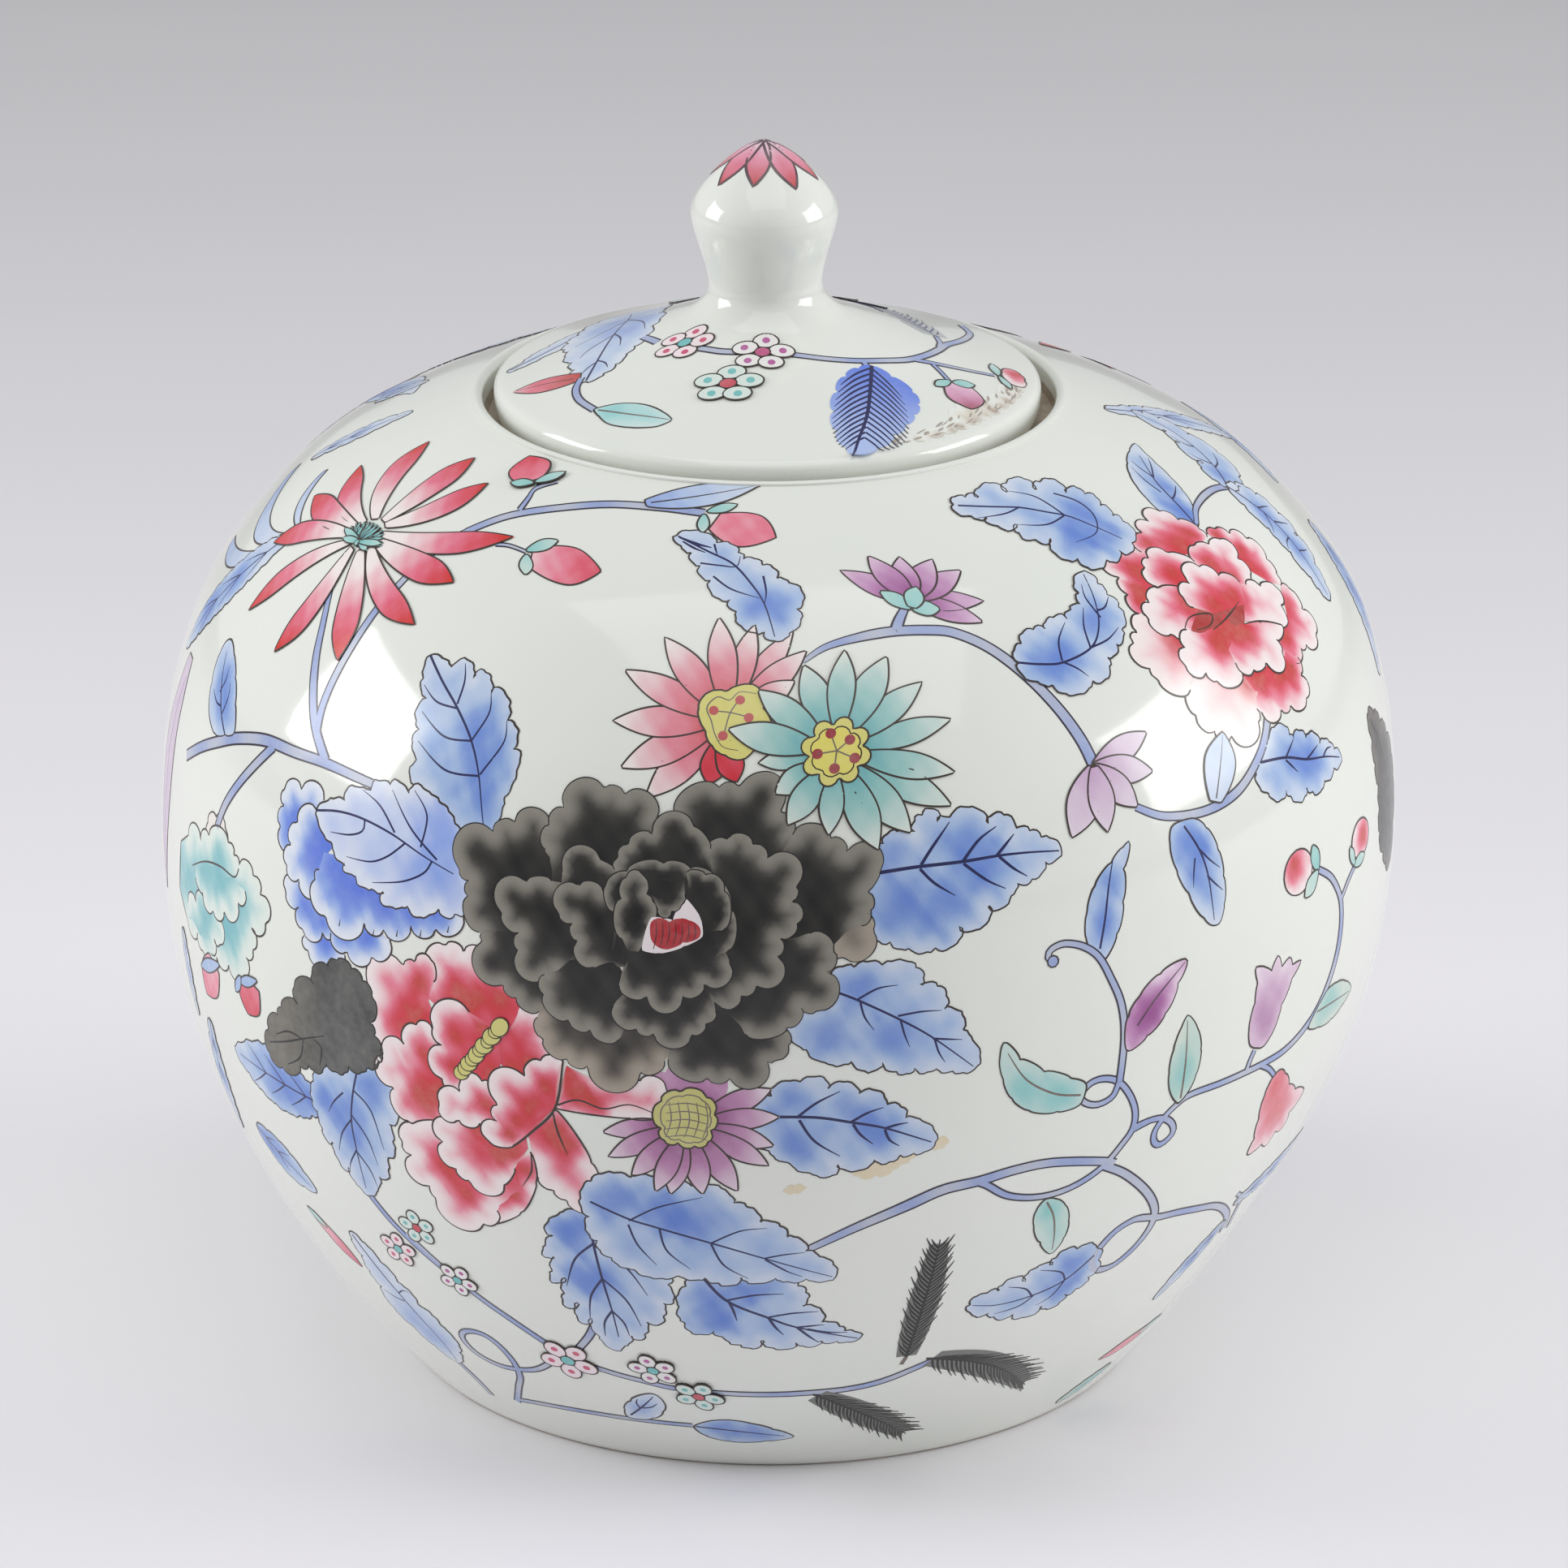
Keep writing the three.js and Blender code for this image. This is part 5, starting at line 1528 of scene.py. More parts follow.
# ---- lower left: soot leaf, hanging leaf, plum branch ----------------------------------
def lower_left_leaves(swing=0, tag=""):
    """The sooty leaf, a hanging leaf and their vine, low on the left."""
    art = Painting("leaves_low_left" + tag, "jar", PotFace(-28 + swing, 98))
    art.vines(((-30.3, -25.6), (-26, -31.3), (-21.3, -36), (-16, -40.6), (-10, -45), 1.5, (0.9, 1)))
    leaf(art,
        [(-27, 4.7), (-21.3, 6), (-19, 2.7), (-18.7, -1.3), (-19, -5), (-21, -5.7), (-20.7, -10),
            (-21, -13.3), (-23, -14), (-23.3, -17.3), (-24, -20), (-26, -19.7), (-27.3, -23.3),
            (-30.3, -26.3), (-32.3, -24.7), (-34.3, -20.7), (-35, -22), (-36.7, -19.3),
            (-37.3, -15.3), (-38.8, -16), (-39.7, -12.7), (-40, -9), (-41, -9), (-41.3, -6.7),
            (-40, -2), (-38.3, 1.7), (-34, 2.7)],
        [[(-27.7, 3.7), (-29.3, -1.3), (-30.7, -8), (-30.7, -14.7), (-30.5, -24.7)],
            [(-30.5, -7.5), (-34, -12), (-36, -17)], [(-30.5, -6.5), (-27, -11), (-25.5, -17)],
            [(-29.3, -0.5), (-25, -4), (-23, -12.5)], [(-30.7, -15), (-33, -18.5), (-34, -21)],
            [(-30.6, -15.5), (-28, -19), (-27, -23)], [(-32, -2), (-35, -5), (-37, -8)]],
        [(-32, -6, 5.4), (-24, 2, 5), (-38, -6, 4.4), (-30, -12, 4)], bulge=0.16)
    edge = [(-21.3, 10), (-22.7, 12.7), (-23.7, 15.3), (-23, 20.7), (-25.3, 23.3), (-28, 25),
        (-32, 25.5), (-34, 24.8), (-34, 23.7), (-38.7, 21), (-38.3, 19), (-44.1, 16.8), (-43, 13.3),
        (-48.7, 11), (-50, 9), (-53.5, 4.7), (-54, -0.7), (-50, -2.3), (-44, 0), (-41.3, 1.3),
        (-40, 0.3), (-37, 2), (-36, 3.3), (-33.3, 2.3), (-31, 2.7), (-30, 4.7), (-26.3, 4.3),
        (-25, 5.7), (-22, 7.3)]
    line = scalloped(edge, 0.3)

    def colour(spots):
        share = eased(spots[:, 0], -46, -34) * 0.5 + 0.35
        return shaded((srgb(150, 142, 122), srgb(84, 80, 72), srgb(58, 58, 58)), share + 0.1)

    art.fill(line, colour, 1.2)
    art.ink(np.vstack([line, line[:1]]), 0.32, (1, 0.6, 1), SOOT, smooth=False)
    for points in [[(-42.3, 6.3), (-46.7, 6.6), (-51, 4.6)], [(-42.3, 6.3), (-43.7, 2), (-48, -1)],
                   [(-39, 7.3), (-37, 6), (-38, 2)], [(-53.6, 2), (-48, 4), (-42, 6.6), (-36, 9)]]:
        art.ink(points, 0.42, (0.6, 1, 0.4), SOOT)
    art.finish(enamel)


lower_left_leaves()


# ---- lower middle: crosshatched daisy, toothed leaves, looping vine --------------------
def purple_daisy(swing=0, tag=""):
    """The purple daisy with a crosshatched eye."""
    art = Painting("daisy_purple" + tag, "jar", PotFace(14 + swing, 98))
    wine = (srgb(224, 206, 218), srgb(186, 128, 172), srgb(140, 62, 126))
    centre = (-45.6, 6)
    daisy(art, centre, [(-53, 16), (-48.6, 18), (-44, 18), (-39, 16.6)], 4, 5.6, wine, 0.8, 0.3, ink=0)
    daisy(art, centre,
        [(-61.5, 2, 4), (-60.1, -3.3, 4.4), (-55.4, -7.3, 4.6), (-30.3, 13, 4.6), (-28.6, 7.2, 4.4),
            (-29.3, 1, 4.4), (-30, -3.3, 4.4), (-35.3, -9.3, 4.8), (-41.7, -10.3, 4.6),
            (-47.7, -10.7, 4.6), (-50.6, -10.3, 4.2)],
        4.4, 4.6, wine, 1.05, -0.05)
    eye = [(-50.4, 4), (-50.6, 9.6), (-47, 11.8), (-42.4, 11), (-40.8, 7.6), (-41.4, 4),
        (-41.6, 1.6), (-44, 0.6), (-47, 1.2), (-49.8, 1.6)]
    art.fill(scalloped(eye, 0.3), srgb(196, 190, 112), 0.9)
    art.ink(scalloped([*eye, eye[0]], 0.3), 0.34, (1, 0.8, 1), INK, smooth=False)
    art.ink(scalloped([(x * 0.84 + centre[0] * 0.16, y * 0.84 + 0.16 * 6) for x, y in [*eye, eye[0]]],
            0.2),
        0.24, (1, 1), SOFT_INK, smooth=False)
    for k in range(5):
        art.ink([(-49.2 + 1.7 * k, 9.8), (-48.6 + 1.7 * k, 6), (-49.4 + 1.7 * k, 2.4)], 0.24,
            (0.6, 1, 0.6), SOFT_INK)
        art.ink([(-49.6, 9 - 1.7 * k), (-45.6, 9.6 - 1.7 * k), (-41.8, 8.8 - 1.7 * k)], 0.24,
            (0.6, 1, 0.6), SOFT_INK)
    art.finish(enamel)


def centre_leaves(swing=0, tag=""):
    """The toothed leaves below the dark peony."""
    art = Painting("leaves_centre" + tag, "jar", PotFace(14 + swing, 98))
    for x, y, width, height in [(-10, -4.6, 9, 3.6), (1.6, -0.2, 3.6, 2.6), (-24.8, -8.8, 4.4, 1.8),
            (-6, -2.6, 7, 2.6)]:
        ring = [(x + width / 2 * math.cos(a), y + height / 2 * math.sin(a + 0.4)) for a in np.linspace(0,
                TAU, 9)[:-1]]
        art.fill(scalloped(ring, 0.25), srgb(214, 184, 116, 0.55), 1.0)
    leaf(art,
        [(-19.7, 35.3), (-15.3, 36.5), (-10, 36.5), (-4, 35.9), (-2.7, 34), (-3, 32.3), (0, 32),
            (1.7, 29.7), (1.3, 27.3), (3.7, 26.7), (5.2, 24.3), (4.7, 22.7), (6.7, 20.3),
            (7.9, 15.3), (3.3, 15.1), (0, 16.1), (-1.3, 15.3), (-4, 16.3), (-5.3, 15.3),
            (-7.3, 15.9), (-10, 17.9), (-12, 16.3), (-15.7, 18.7), (-20.7, 18.7), (-24, 21.3),
            (-27, 24.3), (-27, 27), (-23.3, 28.3), (-20, 30.7)],
        [[(-19.3, 32.3), (-14.7, 30.3), (-7.3, 26.3), (-0.7, 22), (7.3, 15.3)],
            [(-14.7, 30.5), (-11, 32.4), (-7.3, 32.8)], [(-7.3, 26.8), (-3, 27.3), (1, 27.2)],
            [(-0.7, 21.8), (2, 21.4), (5, 21)], [(-14.3, 30), (-13.5, 27), (-11.7, 24.3)],
            [(-6.8, 26), (-6, 23), (-5, 20.5)], [(-0.3, 21.7), (0.5, 19), (1.8, 16.8)]],
        [(-14, 33, 4.6), (-20, 23, 5), (-7, 23, 5)], bulge=0.2)
    leaf(art,
        [(-33.7, 8.3), (-30, 11.3), (-30, 13), (-25.3, 14), (-20.7, 14.7), (-20, 12.7), (-16, 13.7),
            (-14.3, 11.3), (-10.7, 11.7), (-9.3, 8.7), (-6.3, 8.3), (-5.3, 5.7), (-2.3, 4.7),
            (0.7, 0.1), (-3.3, -1.7), (-6, -1.7), (-7.7, -3.3), (-10.7, -2.3), (-12.3, -4.3),
            (-17.3, -3.2), (-18, -5.5), (-22, -4.7), (-26, -2.3), (-30, 0.3), (-34.3, 4.7)],
        [[(-30, 7.2), (-22, 7), (-15.3, 5.7), (-8.7, 4), (0, 0.3)],
            [(-25.5, 7), (-22, 10), (-17.7, 12.3)], [(-15.5, 5.7), (-12.5, 7.5), (-9.5, 8.5)],
            [(-9, 4), (-7, 4.6), (-4.7, 4.9)], [(-25, 6.5), (-22, 2), (-17, -1.5)],
            [(-15, 5.3), (-13.5, 3), (-11, 0.8)], [(-9, 3.8), (-8, 1.5), (-6, 0)]],
        [(-27, 11, 4.4), (-13, 7, 5), (-25, 1, 5), (-9, 3, 4)], bulge=0.2, vein=0.55)
    leaf(art,
        [(-63, -9.3), (-55.6, -7.9), (-50.2, -8), (-44, -9), (-37.3, -10.1), (-36, -12.3),
            (-33.3, -13.3), (-30.7, -17), (-27, -17.7), (-25.3, -20.7), (-22.7, -21.3),
            (-21.3, -24.3), (-18.7, -26), (-15, -31.5), (-20, -31.3), (-23.7, -32), (-26, -31),
            (-28, -32.3), (-32.3, -31), (-33.7, -33.3), (-36.3, -32.7), (-39, -31.5), (-44, -31),
            (-52.6, -30.3), (-57, -28), (-60.3, -24), (-62.6, -18)],
        [[(-62.8, -14.3), (-55, -17.6), (-50, -19), (-39, -22.3), (-28.7, -26), (-15.3, -31.3)],
            [(-39, -22.3), (-34, -19), (-29, -18.2)], [(-28.7, -26), (-25, -25), (-21.3, -24.5)],
            [(-55, -18), (-49.7, -14), (-41.7, -11)], [(-39, -22.5), (-36, -28), (-31, -31.5)],
            [(-28.5, -26.3), (-24, -29.5), (-21, -31)], [(-49, -19.5), (-47, -25), (-42, -29.5)],
            [(-55, -19), (-52.7, -24), (-48.5, -29)]],
        [(-46.5, -18, 4), (-58, -13, 5.4), (-42, -17, 6), (-50, -14, 4.4)], bulge=0.22)
    art.finish(enamel)


def looping_vine(swing=0, tag=""):
    """The looping vine with teal leaves."""
    art = Painting("vine_looping" + tag, "jar", PotFace(14 + swing, 98))
    art.vines(
        ((-21.2, -24), (-12.7, -18.7), (-3.3, -14), (3.3, -11), (10, -10), (16.7, -8.7),
            (23.3, -8.3), (30, -9.3), (36.7, -11), (39, -12), 2.0, (0.8, 1.2, 1, 0.9)),
        ((37.9, 6.4), (36.7, 3.7), (33.7, 2.7), (31, 3.5), (29.7, 5.2), (31, 7.3), (33.7, 8.1),
            (37.3, 7), (40.3, 3.7), (42.3, -0.7), (42.2, -4.7), (40, -8), (36, -12.4), (30, -15.5),
            (23.3, -16.3), (16.7, -14.7), (12, -11.3), (9.6, -10), 1.4, (0.9, 1, 1.1)),
        ((42.2, -5), (44, -4.5), (46, -4), 1.4, (1, 1)),
    )
    leaf(art,
        [(24.7, -17.2), (23, -20), (23.3, -24), (25.3, -28.7), (28.3, -32.7), (30.3, -28.7),
            (30.5, -24), (29.3, -20), (27, -17.7)],
        [[(25, -18), (27, -22), (28, -27), (28.3, -31.5)]], [(26, -20, 3)], LEAF_TEAL, 0.1,
        dark=SOFT_INK)
    leaf(art,
        [(30.6, 7.8), (27.4, 9.4), (21.4, 12), (16.4, 15.4), (13.2, 19.4), (12.6, 16.6), (13.4, 12),
            (15.4, 7.4), (19, 4.4), (24.6, 3.1), (29.6, 3.6)],
        [[(29.6, 5.6), (24, 7), (18, 11), (14, 17)]], [(24, 6, 4), (18, 9, 3)],
        (srgb(196, 216, 210), srgb(160, 204, 202), srgb(116, 190, 190)), 0.1, dark=SOFT_INK)
    art.finish(enamel)


centre_leaves()
purple_daisy()
looping_vine()


# ---- far right: bell flowers, buds and their vine --------------------------------------
def berry(art, x, y, size, deep, squash=0.9):
    """A round berry with one pooled patch of colour."""
    ring = [around((x, y), size, 30 * k) for k in range(12)]
    ring = [(x + (px - x), y + (py - y) * squash) for px, py in ring]
    petal(art, [*ring, ring[0]], [ring[0]], depth=size * 1.4, bulge=0.05, deep=[deep], ink=0.36)


def bell_flowers(swing=0, tag=""):
    """Bell flowers and berries on the far right vine."""
    art = Painting("bell_flowers" + tag, "jar", PotFace(50 + swing, 98))
    art.vines(
        ((-31.5, -4.6), (-28, -4), (-24.7, -4.3), (-22, -6), (-20.7, -8.3), (-21.7, -10),
            (-23.6, -10.6), (-25.2, -9.3), (-25.7, -7), (-24.3, -4.4), (-21.3, -2), (-18, -0.9),
            (-10, -0.9), (-3.3, -0.8), (3.3, -0.7), (8.7, -0.3), (14, 1.3), (19.3, 4.3), (23.3, 8.7),
            (26, 14), (27, 19.3), (26.7, 24), (25.3, 27.3), (22, 31.3), (17.3, 34.3), 1.5,
            (0.9, 0.9, 1, 1.2, 0.9)),
        ((26.6, 25.4), (30, 28), (33, 29.7), 1.2, (1, 0.9)),
        ((1.4, -0.8), (4.7, -2.7), (7.3, -5), 1.2, (1, 0.9)),
        ((-3, -0.6), (-2.5, 1.4), (-1.6, 3.4), 1.3, (1, 0.9)),
        ((-36, -12), (-30.4, -15.2), (-24, -20.4), (-19.3, -25.3), (-16.6, -29.6), (-16, -33.6),
            (-17.3, -38), (-20, -41.3), (-22.7, -42), (-25.7, -41), (-27.8, -38), (-27.7, -34.7),
            (-25.7, -30.9), (-22, -29.2), (-18, -30), (-14.7, -31), (-8.7, -32), (-2, -33.7),
            (3.3, -35.3), (8, -37.7), (12, -40.7), (15.3, -44), (18, -49), 1.7, (1, 1, 1, 1)),
    )
    leaf(art,
        [(-1, 3.7), (-3.3, 5), (-4.3, 8.7), (-3.3, 14), (-3, 18), (-4, 21.3), (-0.7, 20.3), (1, 19),
            (3, 21.7), (4.3, 18.7), (7, 20.1), (8, 18), (11, 18.1), (8, 15.3), (5.3, 10.7),
            (3.3, 5.3), (1, 3.3)],
        (), [(0.6, 10, 7)], (srgb(226, 210, 222), srgb(206, 172, 200), srgb(160, 96, 152)), 0.08)
    leaf(art,
        [(7.7, -5), (9.3, -4.5), (11.7, -6.3), (14.7, -10), (18.7, -12.7), (24, -15), (22.7, -17.3),
            (20, -18.7), (20.7, -21), (19.3, -22.7), (16.7, -21.7), (15, -24.7), (12.3, -23),
            (10, -24), (7.7, -24), (8, -20), (6.7, -14.7), (5.9, -9.3), (6.3, -6.7)],
        (), [(9.4, -11, 7), (9, -7, 4), (14, -16, 5)],
        (srgb(240, 216, 220), srgb(230, 150, 166), srgb(212, 76, 86)), 0.12)
    teal = (srgb(206, 216, 206), srgb(172, 204, 196), srgb(120, 190, 190))
    leaf(art,
        [(-21.3, -2), (-24, 1.3), (-25, 5.3), (-24.7, 10), (-23.3, 14.3), (-22, 16.7), (-19.3, 13.3),
            (-17.7, 8.7), (-18, 3.3), (-19.3, 0)],
        [[(-21, -1), (-21.3, 7), (-22, 15.6)]], [(-22, 4, 5)], teal, 0.08, dark=SOFT_INK)
    leaf(art,
        [(17.3, 1.7), (21.3, 6), (23.3, 7.5), (28, 7.5), (32.7, 6), (37.3, 2.7), (32.7, 0.7),
            (28, -0.3), (22, 0.3)],
        [[(20, 4.2), (28, 3.6), (36, 2.7)]], [(24, 5, 4.4)], teal, 0.08, dark=SOFT_INK)
    berry(art, 9.8, 36.2, 4.9, (8.4, 38.2, 4.2))
    berry(art, 36.7, 34.2, 4.8, (38, 34.4, 4), 0.78)
    blade(art, (16.8, 34.2), (15.2, 40), 3.4, LEAF_TEAL, 0.7, 0.5)
    blade(art, (16.8, 34.4), (11.6, 30.4), 3.6, LEAF_TEAL, 0.3, 0.0)
    blade(art, (32.6, 30), (38.8, 30.4), 2.6, LEAF_TEAL, 0.5, 0.1)
    blade(art, (33, 30), (30.8, 34.4), 2.4, LEAF_TEAL, 0.5, 0.1)
    art.finish(enamel)


bell_flowers()


# ---- lower front: leaves, plum blossoms, loops and feathery leaves ---------------------
def low_vines(swing=0, tag=""):
    """The low vines with their leaves and plum blossoms."""
    art = Painting("vines_low" + tag, "jar", PotFace(-25 + swing, 55))
    art.vines(
        ((-28, 9.3), (-21.3, 2.7), (-13.7, -4.3), (-8, -9), (-2.7, -13.7), (2, -18), (10, -21.3),
            (16, -23), (22, -24.6), (30.7, -25.3), (38.7, -25.5), (46, -25.2), (55, -24.4),
            (62, -22.6), (69, -19.4), (74, -17.2), (80, -16.7), 1.5, (0.8, 1, 1, 1.1, 0.8)),
        ((-1.6, -20.4), (-3.3, -22.4), (-6.7, -25.3), (-10.7, -27), (-16, -27.7), (-20.7, -25.7),
            (-22.7, -22), (-22, -19), (-19.3, -17.3), (-16, -17.3), (-13.3, -20), (-11.7, -24.7),
            (-12, -30), (-14, -34.7), (-16.3, -40), (-17.4, -42.4), 1.4, (1, 1)),
        ((-16.7, -41.3), (-10.7, -40), (-1.3, -39), (8.7, -38.7), (21.3, -38.7), 1.4, (1, 1)),
        ((10.3, -6.3), (8.4, -10), (5.4, -14.4), 1.6, (1, 0.9)),
        ((-28.7, -32.6), (-26.2, -38), (-24.6, -44), 1.3, (1, 0.9)),
    )
    leaf(art,
        [(12.3, 26), (8.7, 24), (5.3, 19), (6.7, 18.7), (4.7, 15.3), (3.7, 12.7), (6, 12.7),
            (5, 8.7), (4.2, 5.5), (7.3, 7.3), (6.3, 2.7), (5.9, -1.7), (8.5, 0.3), (8.3, -6),
            (10.3, -4), (11, -9.3), (13.1, -13.3), (15, -11.3), (17.3, -7.7), (18.7, -9), (20, -6.7),
            (21, -2.7), (23.7, -3.3), (24.7, -0.7), (25.3, 3.3), (27, 3.3), (27.7, 6), (27, 8.7),
            (28.3, 10), (27.3, 12.3), (22, 16.7), (19.3, 22), (17, 26)],
        [[(14.7, 25.3), (14.5, 17.3), (14.7, 8.7), (15, -0.7), (14.7, -8.7)],
            [(14.5, 18), (10, 13), (7, 5)], [(14.6, 17.5), (20, 12.5), (23, 5)],
            [(14.7, 8.5), (11.5, 3), (10, -4)], [(14.8, 8.5), (18.5, 3), (20, -4.5)],
            [(15, -0.7), (12.8, -4.5), (12, -9)], [(15, -0.7), (16.7, -4), (17, -8)]],
        [(12, 22, 5.4), (14, 9, 5), (9, 20, 4), (10, 7, 4.4)], bulge=0.16, vein=0.5)
    leaf(art,
        [(-45.7, 2.3), (-43, 0.3), (-39.3, -4), (-37.3, -5.3), (-36, -9), (-32.7, -11.3),
            (-32.3, -14.7), (-29, -16.3), (-28, -19.3), (-26, -22), (-26.3, -28), (-28.7, -33),
            (-33.3, -29.3), (-37.3, -24.7), (-41.3, -20), (-42.7, -16.7), (-42, -13.3), (-44, -9.3),
            (-44.3, -4.7), (-46, 0)],
        [[(-45.5, 1.5), (-41, -6), (-35, -16), (-30, -26), (-28.7, -32.5)],
            [(-37, -13), (-35, -11), (-33, -11)], [(-36, -15), (-39, -15), (-42, -14)]],
        [(-36, -22, 5), (-32, -26, 4)], LEAF_PALE, 0.16)
    leaf(art,
        [(8.7, -38), (9, -35.3), (11.3, -31.3), (17, -27.5), (18, -30), (16.7, -34), (14, -37)],
        [[(9.5, -37), (13, -33), (16.5, -28.5)], [(12.5, -33.6), (12.3, -31.6), (13, -30)],
            [(13, -33.4), (15, -32.6), (16.6, -31)]],
        [(13, -33, 3)], LEAF_PALE, 0.14)
    for x, y, size, petals, eye, turn in [(-24.7, 12, 2.7, "teal", "red", 100),
            (-31.5, 3.5, 2.8, "pink", "teal", 85), (-17.7, -0.3, 2.7, "white", "teal", 60),
            (2, -19, 3.6, "pink", "teal", 50), (19.3, -18.3, 2.9, "white", "teal", 100),
            (26, -26.3, 2.9, "teal", "red", 60)]:
        blossom(art, x, y, size, petals, eye, turn)
    art.finish(enamel)


def low_right(swing=0, tag=""):
    """The feathery leaves and the small leaves low on the right."""
    art = Painting("leaves_low_right" + tag, "jar", PotFace(22 + swing, 55))
    leaf(art,
        [(-55.8, 12.7), (-51.6, 12.4), (-48, 12), (-46, 11.3), (-43.7, 10.3), (-42, 12), (-40, 11.3),
            (-36.7, 9.3), (-34.7, 7.3), (-34.7, 3.3), (-30.7, 1.7), (-30, -2), (-26, -3.3),
            (-24.7, -5), (-21, -7), (-25.3, -7.7), (-28.7, -7.3), (-28.7, -8.7), (-33, -7.7),
            (-33.3, -9.3), (-39.7, -7), (-40, -9.2), (-43.3, -8.3), (-46.7, -6), (-49.3, -4.3),
            (-51.8, -5.5), (-55, -2), (-57, 2.7), (-57, 8.7)],
        [[(-55.5, 12.5), (-49, 5), (-40, 0), (-34, -3), (-21.5, -7.3)],
            [(-49, 5), (-44, 6.7), (-38.7, 7.1)], [(-40, 0.2), (-36, 1.3), (-31, 1.7)],
            [(-48.5, 4.8), (-47, 2), (-45.7, -1)], [(-40, 0), (-38, -3), (-36, -5.3)],
            [(-34, -3), (-31, -6), (-28.7, -8)], [(-34, -3), (-31, -2.6), (-29, -2.4)],
            [(-32, -3.6), (-28, -4.8), (-24, -5.2)]],
        [(-48, -3, 3.4), (-52, 6, 5.4), (-44, 9, 5), (-50, 0, 5)], bulge=0.2, vein=0.55)
    leaf(art,
        [(-1, -0.7), (1.7, 1.7), (4.3, 2), (4.7, 3.7), (9.3, 3.7), (9.7, 5.7), (11.3, 6.7),
            (14.3, 6.7), (15, 8.7), (19.3, 9.5), (23.7, 8.3), (25, 4.7), (24.3, 0), (22.3, -2.7),
            (20, -3.7), (19.3, -6), (16.7, -6.7), (15.3, -5.7), (12, -7.7), (9.7, -7), (9.3, -6),
            (5.3, -5.7), (3.7, -4), (0, -3)],
        [[(24, 6.5), (18.7, 1), (12, -1.5), (5, -2.2), (-0.5, -1)], [(18.7, 1.2), (17, 4), (12, 6)],
            [(12, -1.4), (10, 1.2), (6, 2.8)], [(12.5, -1.5), (10, -4), (5, -5)],
            [(18.7, 1), (17, -3), (14, -5)]],
        [(20, 6, 5.4), (19, -2, 4.4)], bulge=0.35)
    leaf(art,
        [(-46, -39), (-44, -36.7), (-40.7, -35.7), (-35.3, -37), (-30.7, -39.3), (-26, -42.5),
            (-31, -44), (-38, -44.5), (-43, -42.5)],
        [[(-45.6, -39), (-38, -40), (-28, -42)]], [(-41, -38, 5), (-34, -41, 5)], bulge=0.08)
    feather(art, (-10.4, -15.4), (-11.4, 19.4), 6.6, 30, SOOT, 0.0, 0.8)
    feather(art, (-5.4, -16.6), (19.8, -34.6), 8.4, 28, SOOT, 0.1, 0.8)
    feather(art, (-25.6, -26), (-3.6, -45), 7.2, 26, SOOT, 0.03, 0.8)
    art.ink([(-10.8, -17.4), (-10.4, -15)], 0.7, (1, 1), SOFT_INK)
    art.finish(enamel)


low_vines()
low_right()


# ---- sprays that run off both edges ----------------------------------------------------
def plain_leaf(art, base, tip, width, tones=LEAF_BLUE, deep=0.5, pairs=3, lobe=3.4):
    """A long lobed leaf between two (azimuth, climb) spots, with a spine and paired veins."""
    base, tip = np.array(art.face.find(*base)), np.array(art.face.find(*tip))
    along = tip - base
    side = np.array([-along[1], along[0]]) / np.linalg.norm(along)
    veins = [[tuple(base), tuple(base + along * 0.5), tuple(base + along * 0.94)]]
    for k in range(pairs):
        root = base + along * (0.16 + 0.22 * k)
        for way in (1, -1):
            end = root + along * 0.2 + side * way * width * 0.34
            veins.append([tuple(root), tuple((root + end) / 2 + side * way * 0.2), tuple(end)])
    pools = [(*(base + along * deep), width * 0.7), (*(base + along * (deep - 0.28)), width * 0.5)]
    leaf(art, petal_edge(base, tip, width, 0.48, 0.2, lobe), veins, pools, tones, 0.16, vein=0.36)


def left_edge_sprays():
    """Slim leaves that run off the left edge."""
    art = Painting("leaves_left_edge", "jar", PotFace(-75, 140))
    at = art.face.find
    lilac = (srgb(226, 212, 226), srgb(196, 172, 200), srgb(150, 118, 160))
    blade(art, at(-80.6, 160), at(-80.4, 112), 11, lilac, 0.3, 0.5, 0.45, 0.35, 0.34)
    art.ink([at(-80, 156), at(-80.4, 138), at(-80.4, 116)], 0.4, (0.6, 1, 0.4), srgb(128, 96, 132))
    for base, tip, width, bend in (((-94, 197), (-73, 195), 5, -0.24),
            ((-84, 205), (-72, 195), 2.4, -0.14), ((-92, 178), (-77, 188), 4, -0.12)):
        blade(art, at(*base), at(*tip), width, LEAF_PALE, 0.8, 0.0, 0.4, 0.5, 0.36, bend=bend)
    plain_leaf(art, (-92.6, 201.5), (-91, 224.5), 4.6, LEAF_PALE, 0.5, 2)
    plain_leaf(art, (-108, 211), (-108, 223), 4.6, LEAF_PALE, 0.5, 1)
    plain_leaf(art, (-74.5, 192.5), (-84.5, 159), 9, LEAF_BLUE, 0.7)
    plain_leaf(art, (-72.6, 110), (-71.6, 92), 3.2, LEAF_PALE, 0.5, 0)
    plain_leaf(art, (-67.4, 94.5), (-70.4, 67), 5, LEAF_BLUE, 0.5, 2)
    art.finish(enamel)


def low_left_edge():
    """Small leaves and a bud low on the left edge."""
    art = Painting("leaves_low_edge", "jar", PotFace(-58, 75))
    at = art.face.find
    plain_leaf(art, (-47, 91), (-61.5, 92.5), 13, LEAF_BLUE, 0.4)
    plain_leaf(art, (-62.6, 74), (-53.6, 65), 9, LEAF_BLUE, 0.4, 2)
    blade(art, at(-57.6, 56.4), at(-52, 45.6), 4.4, ROSY, 0.2, 0.8, 0.55, 0.5)
    blade(art, at(-58.4, 57.2), at(-55.6, 53.6), 2.4, LEAF_TEAL, 0.6, 0.2)
    art.finish(enamel)


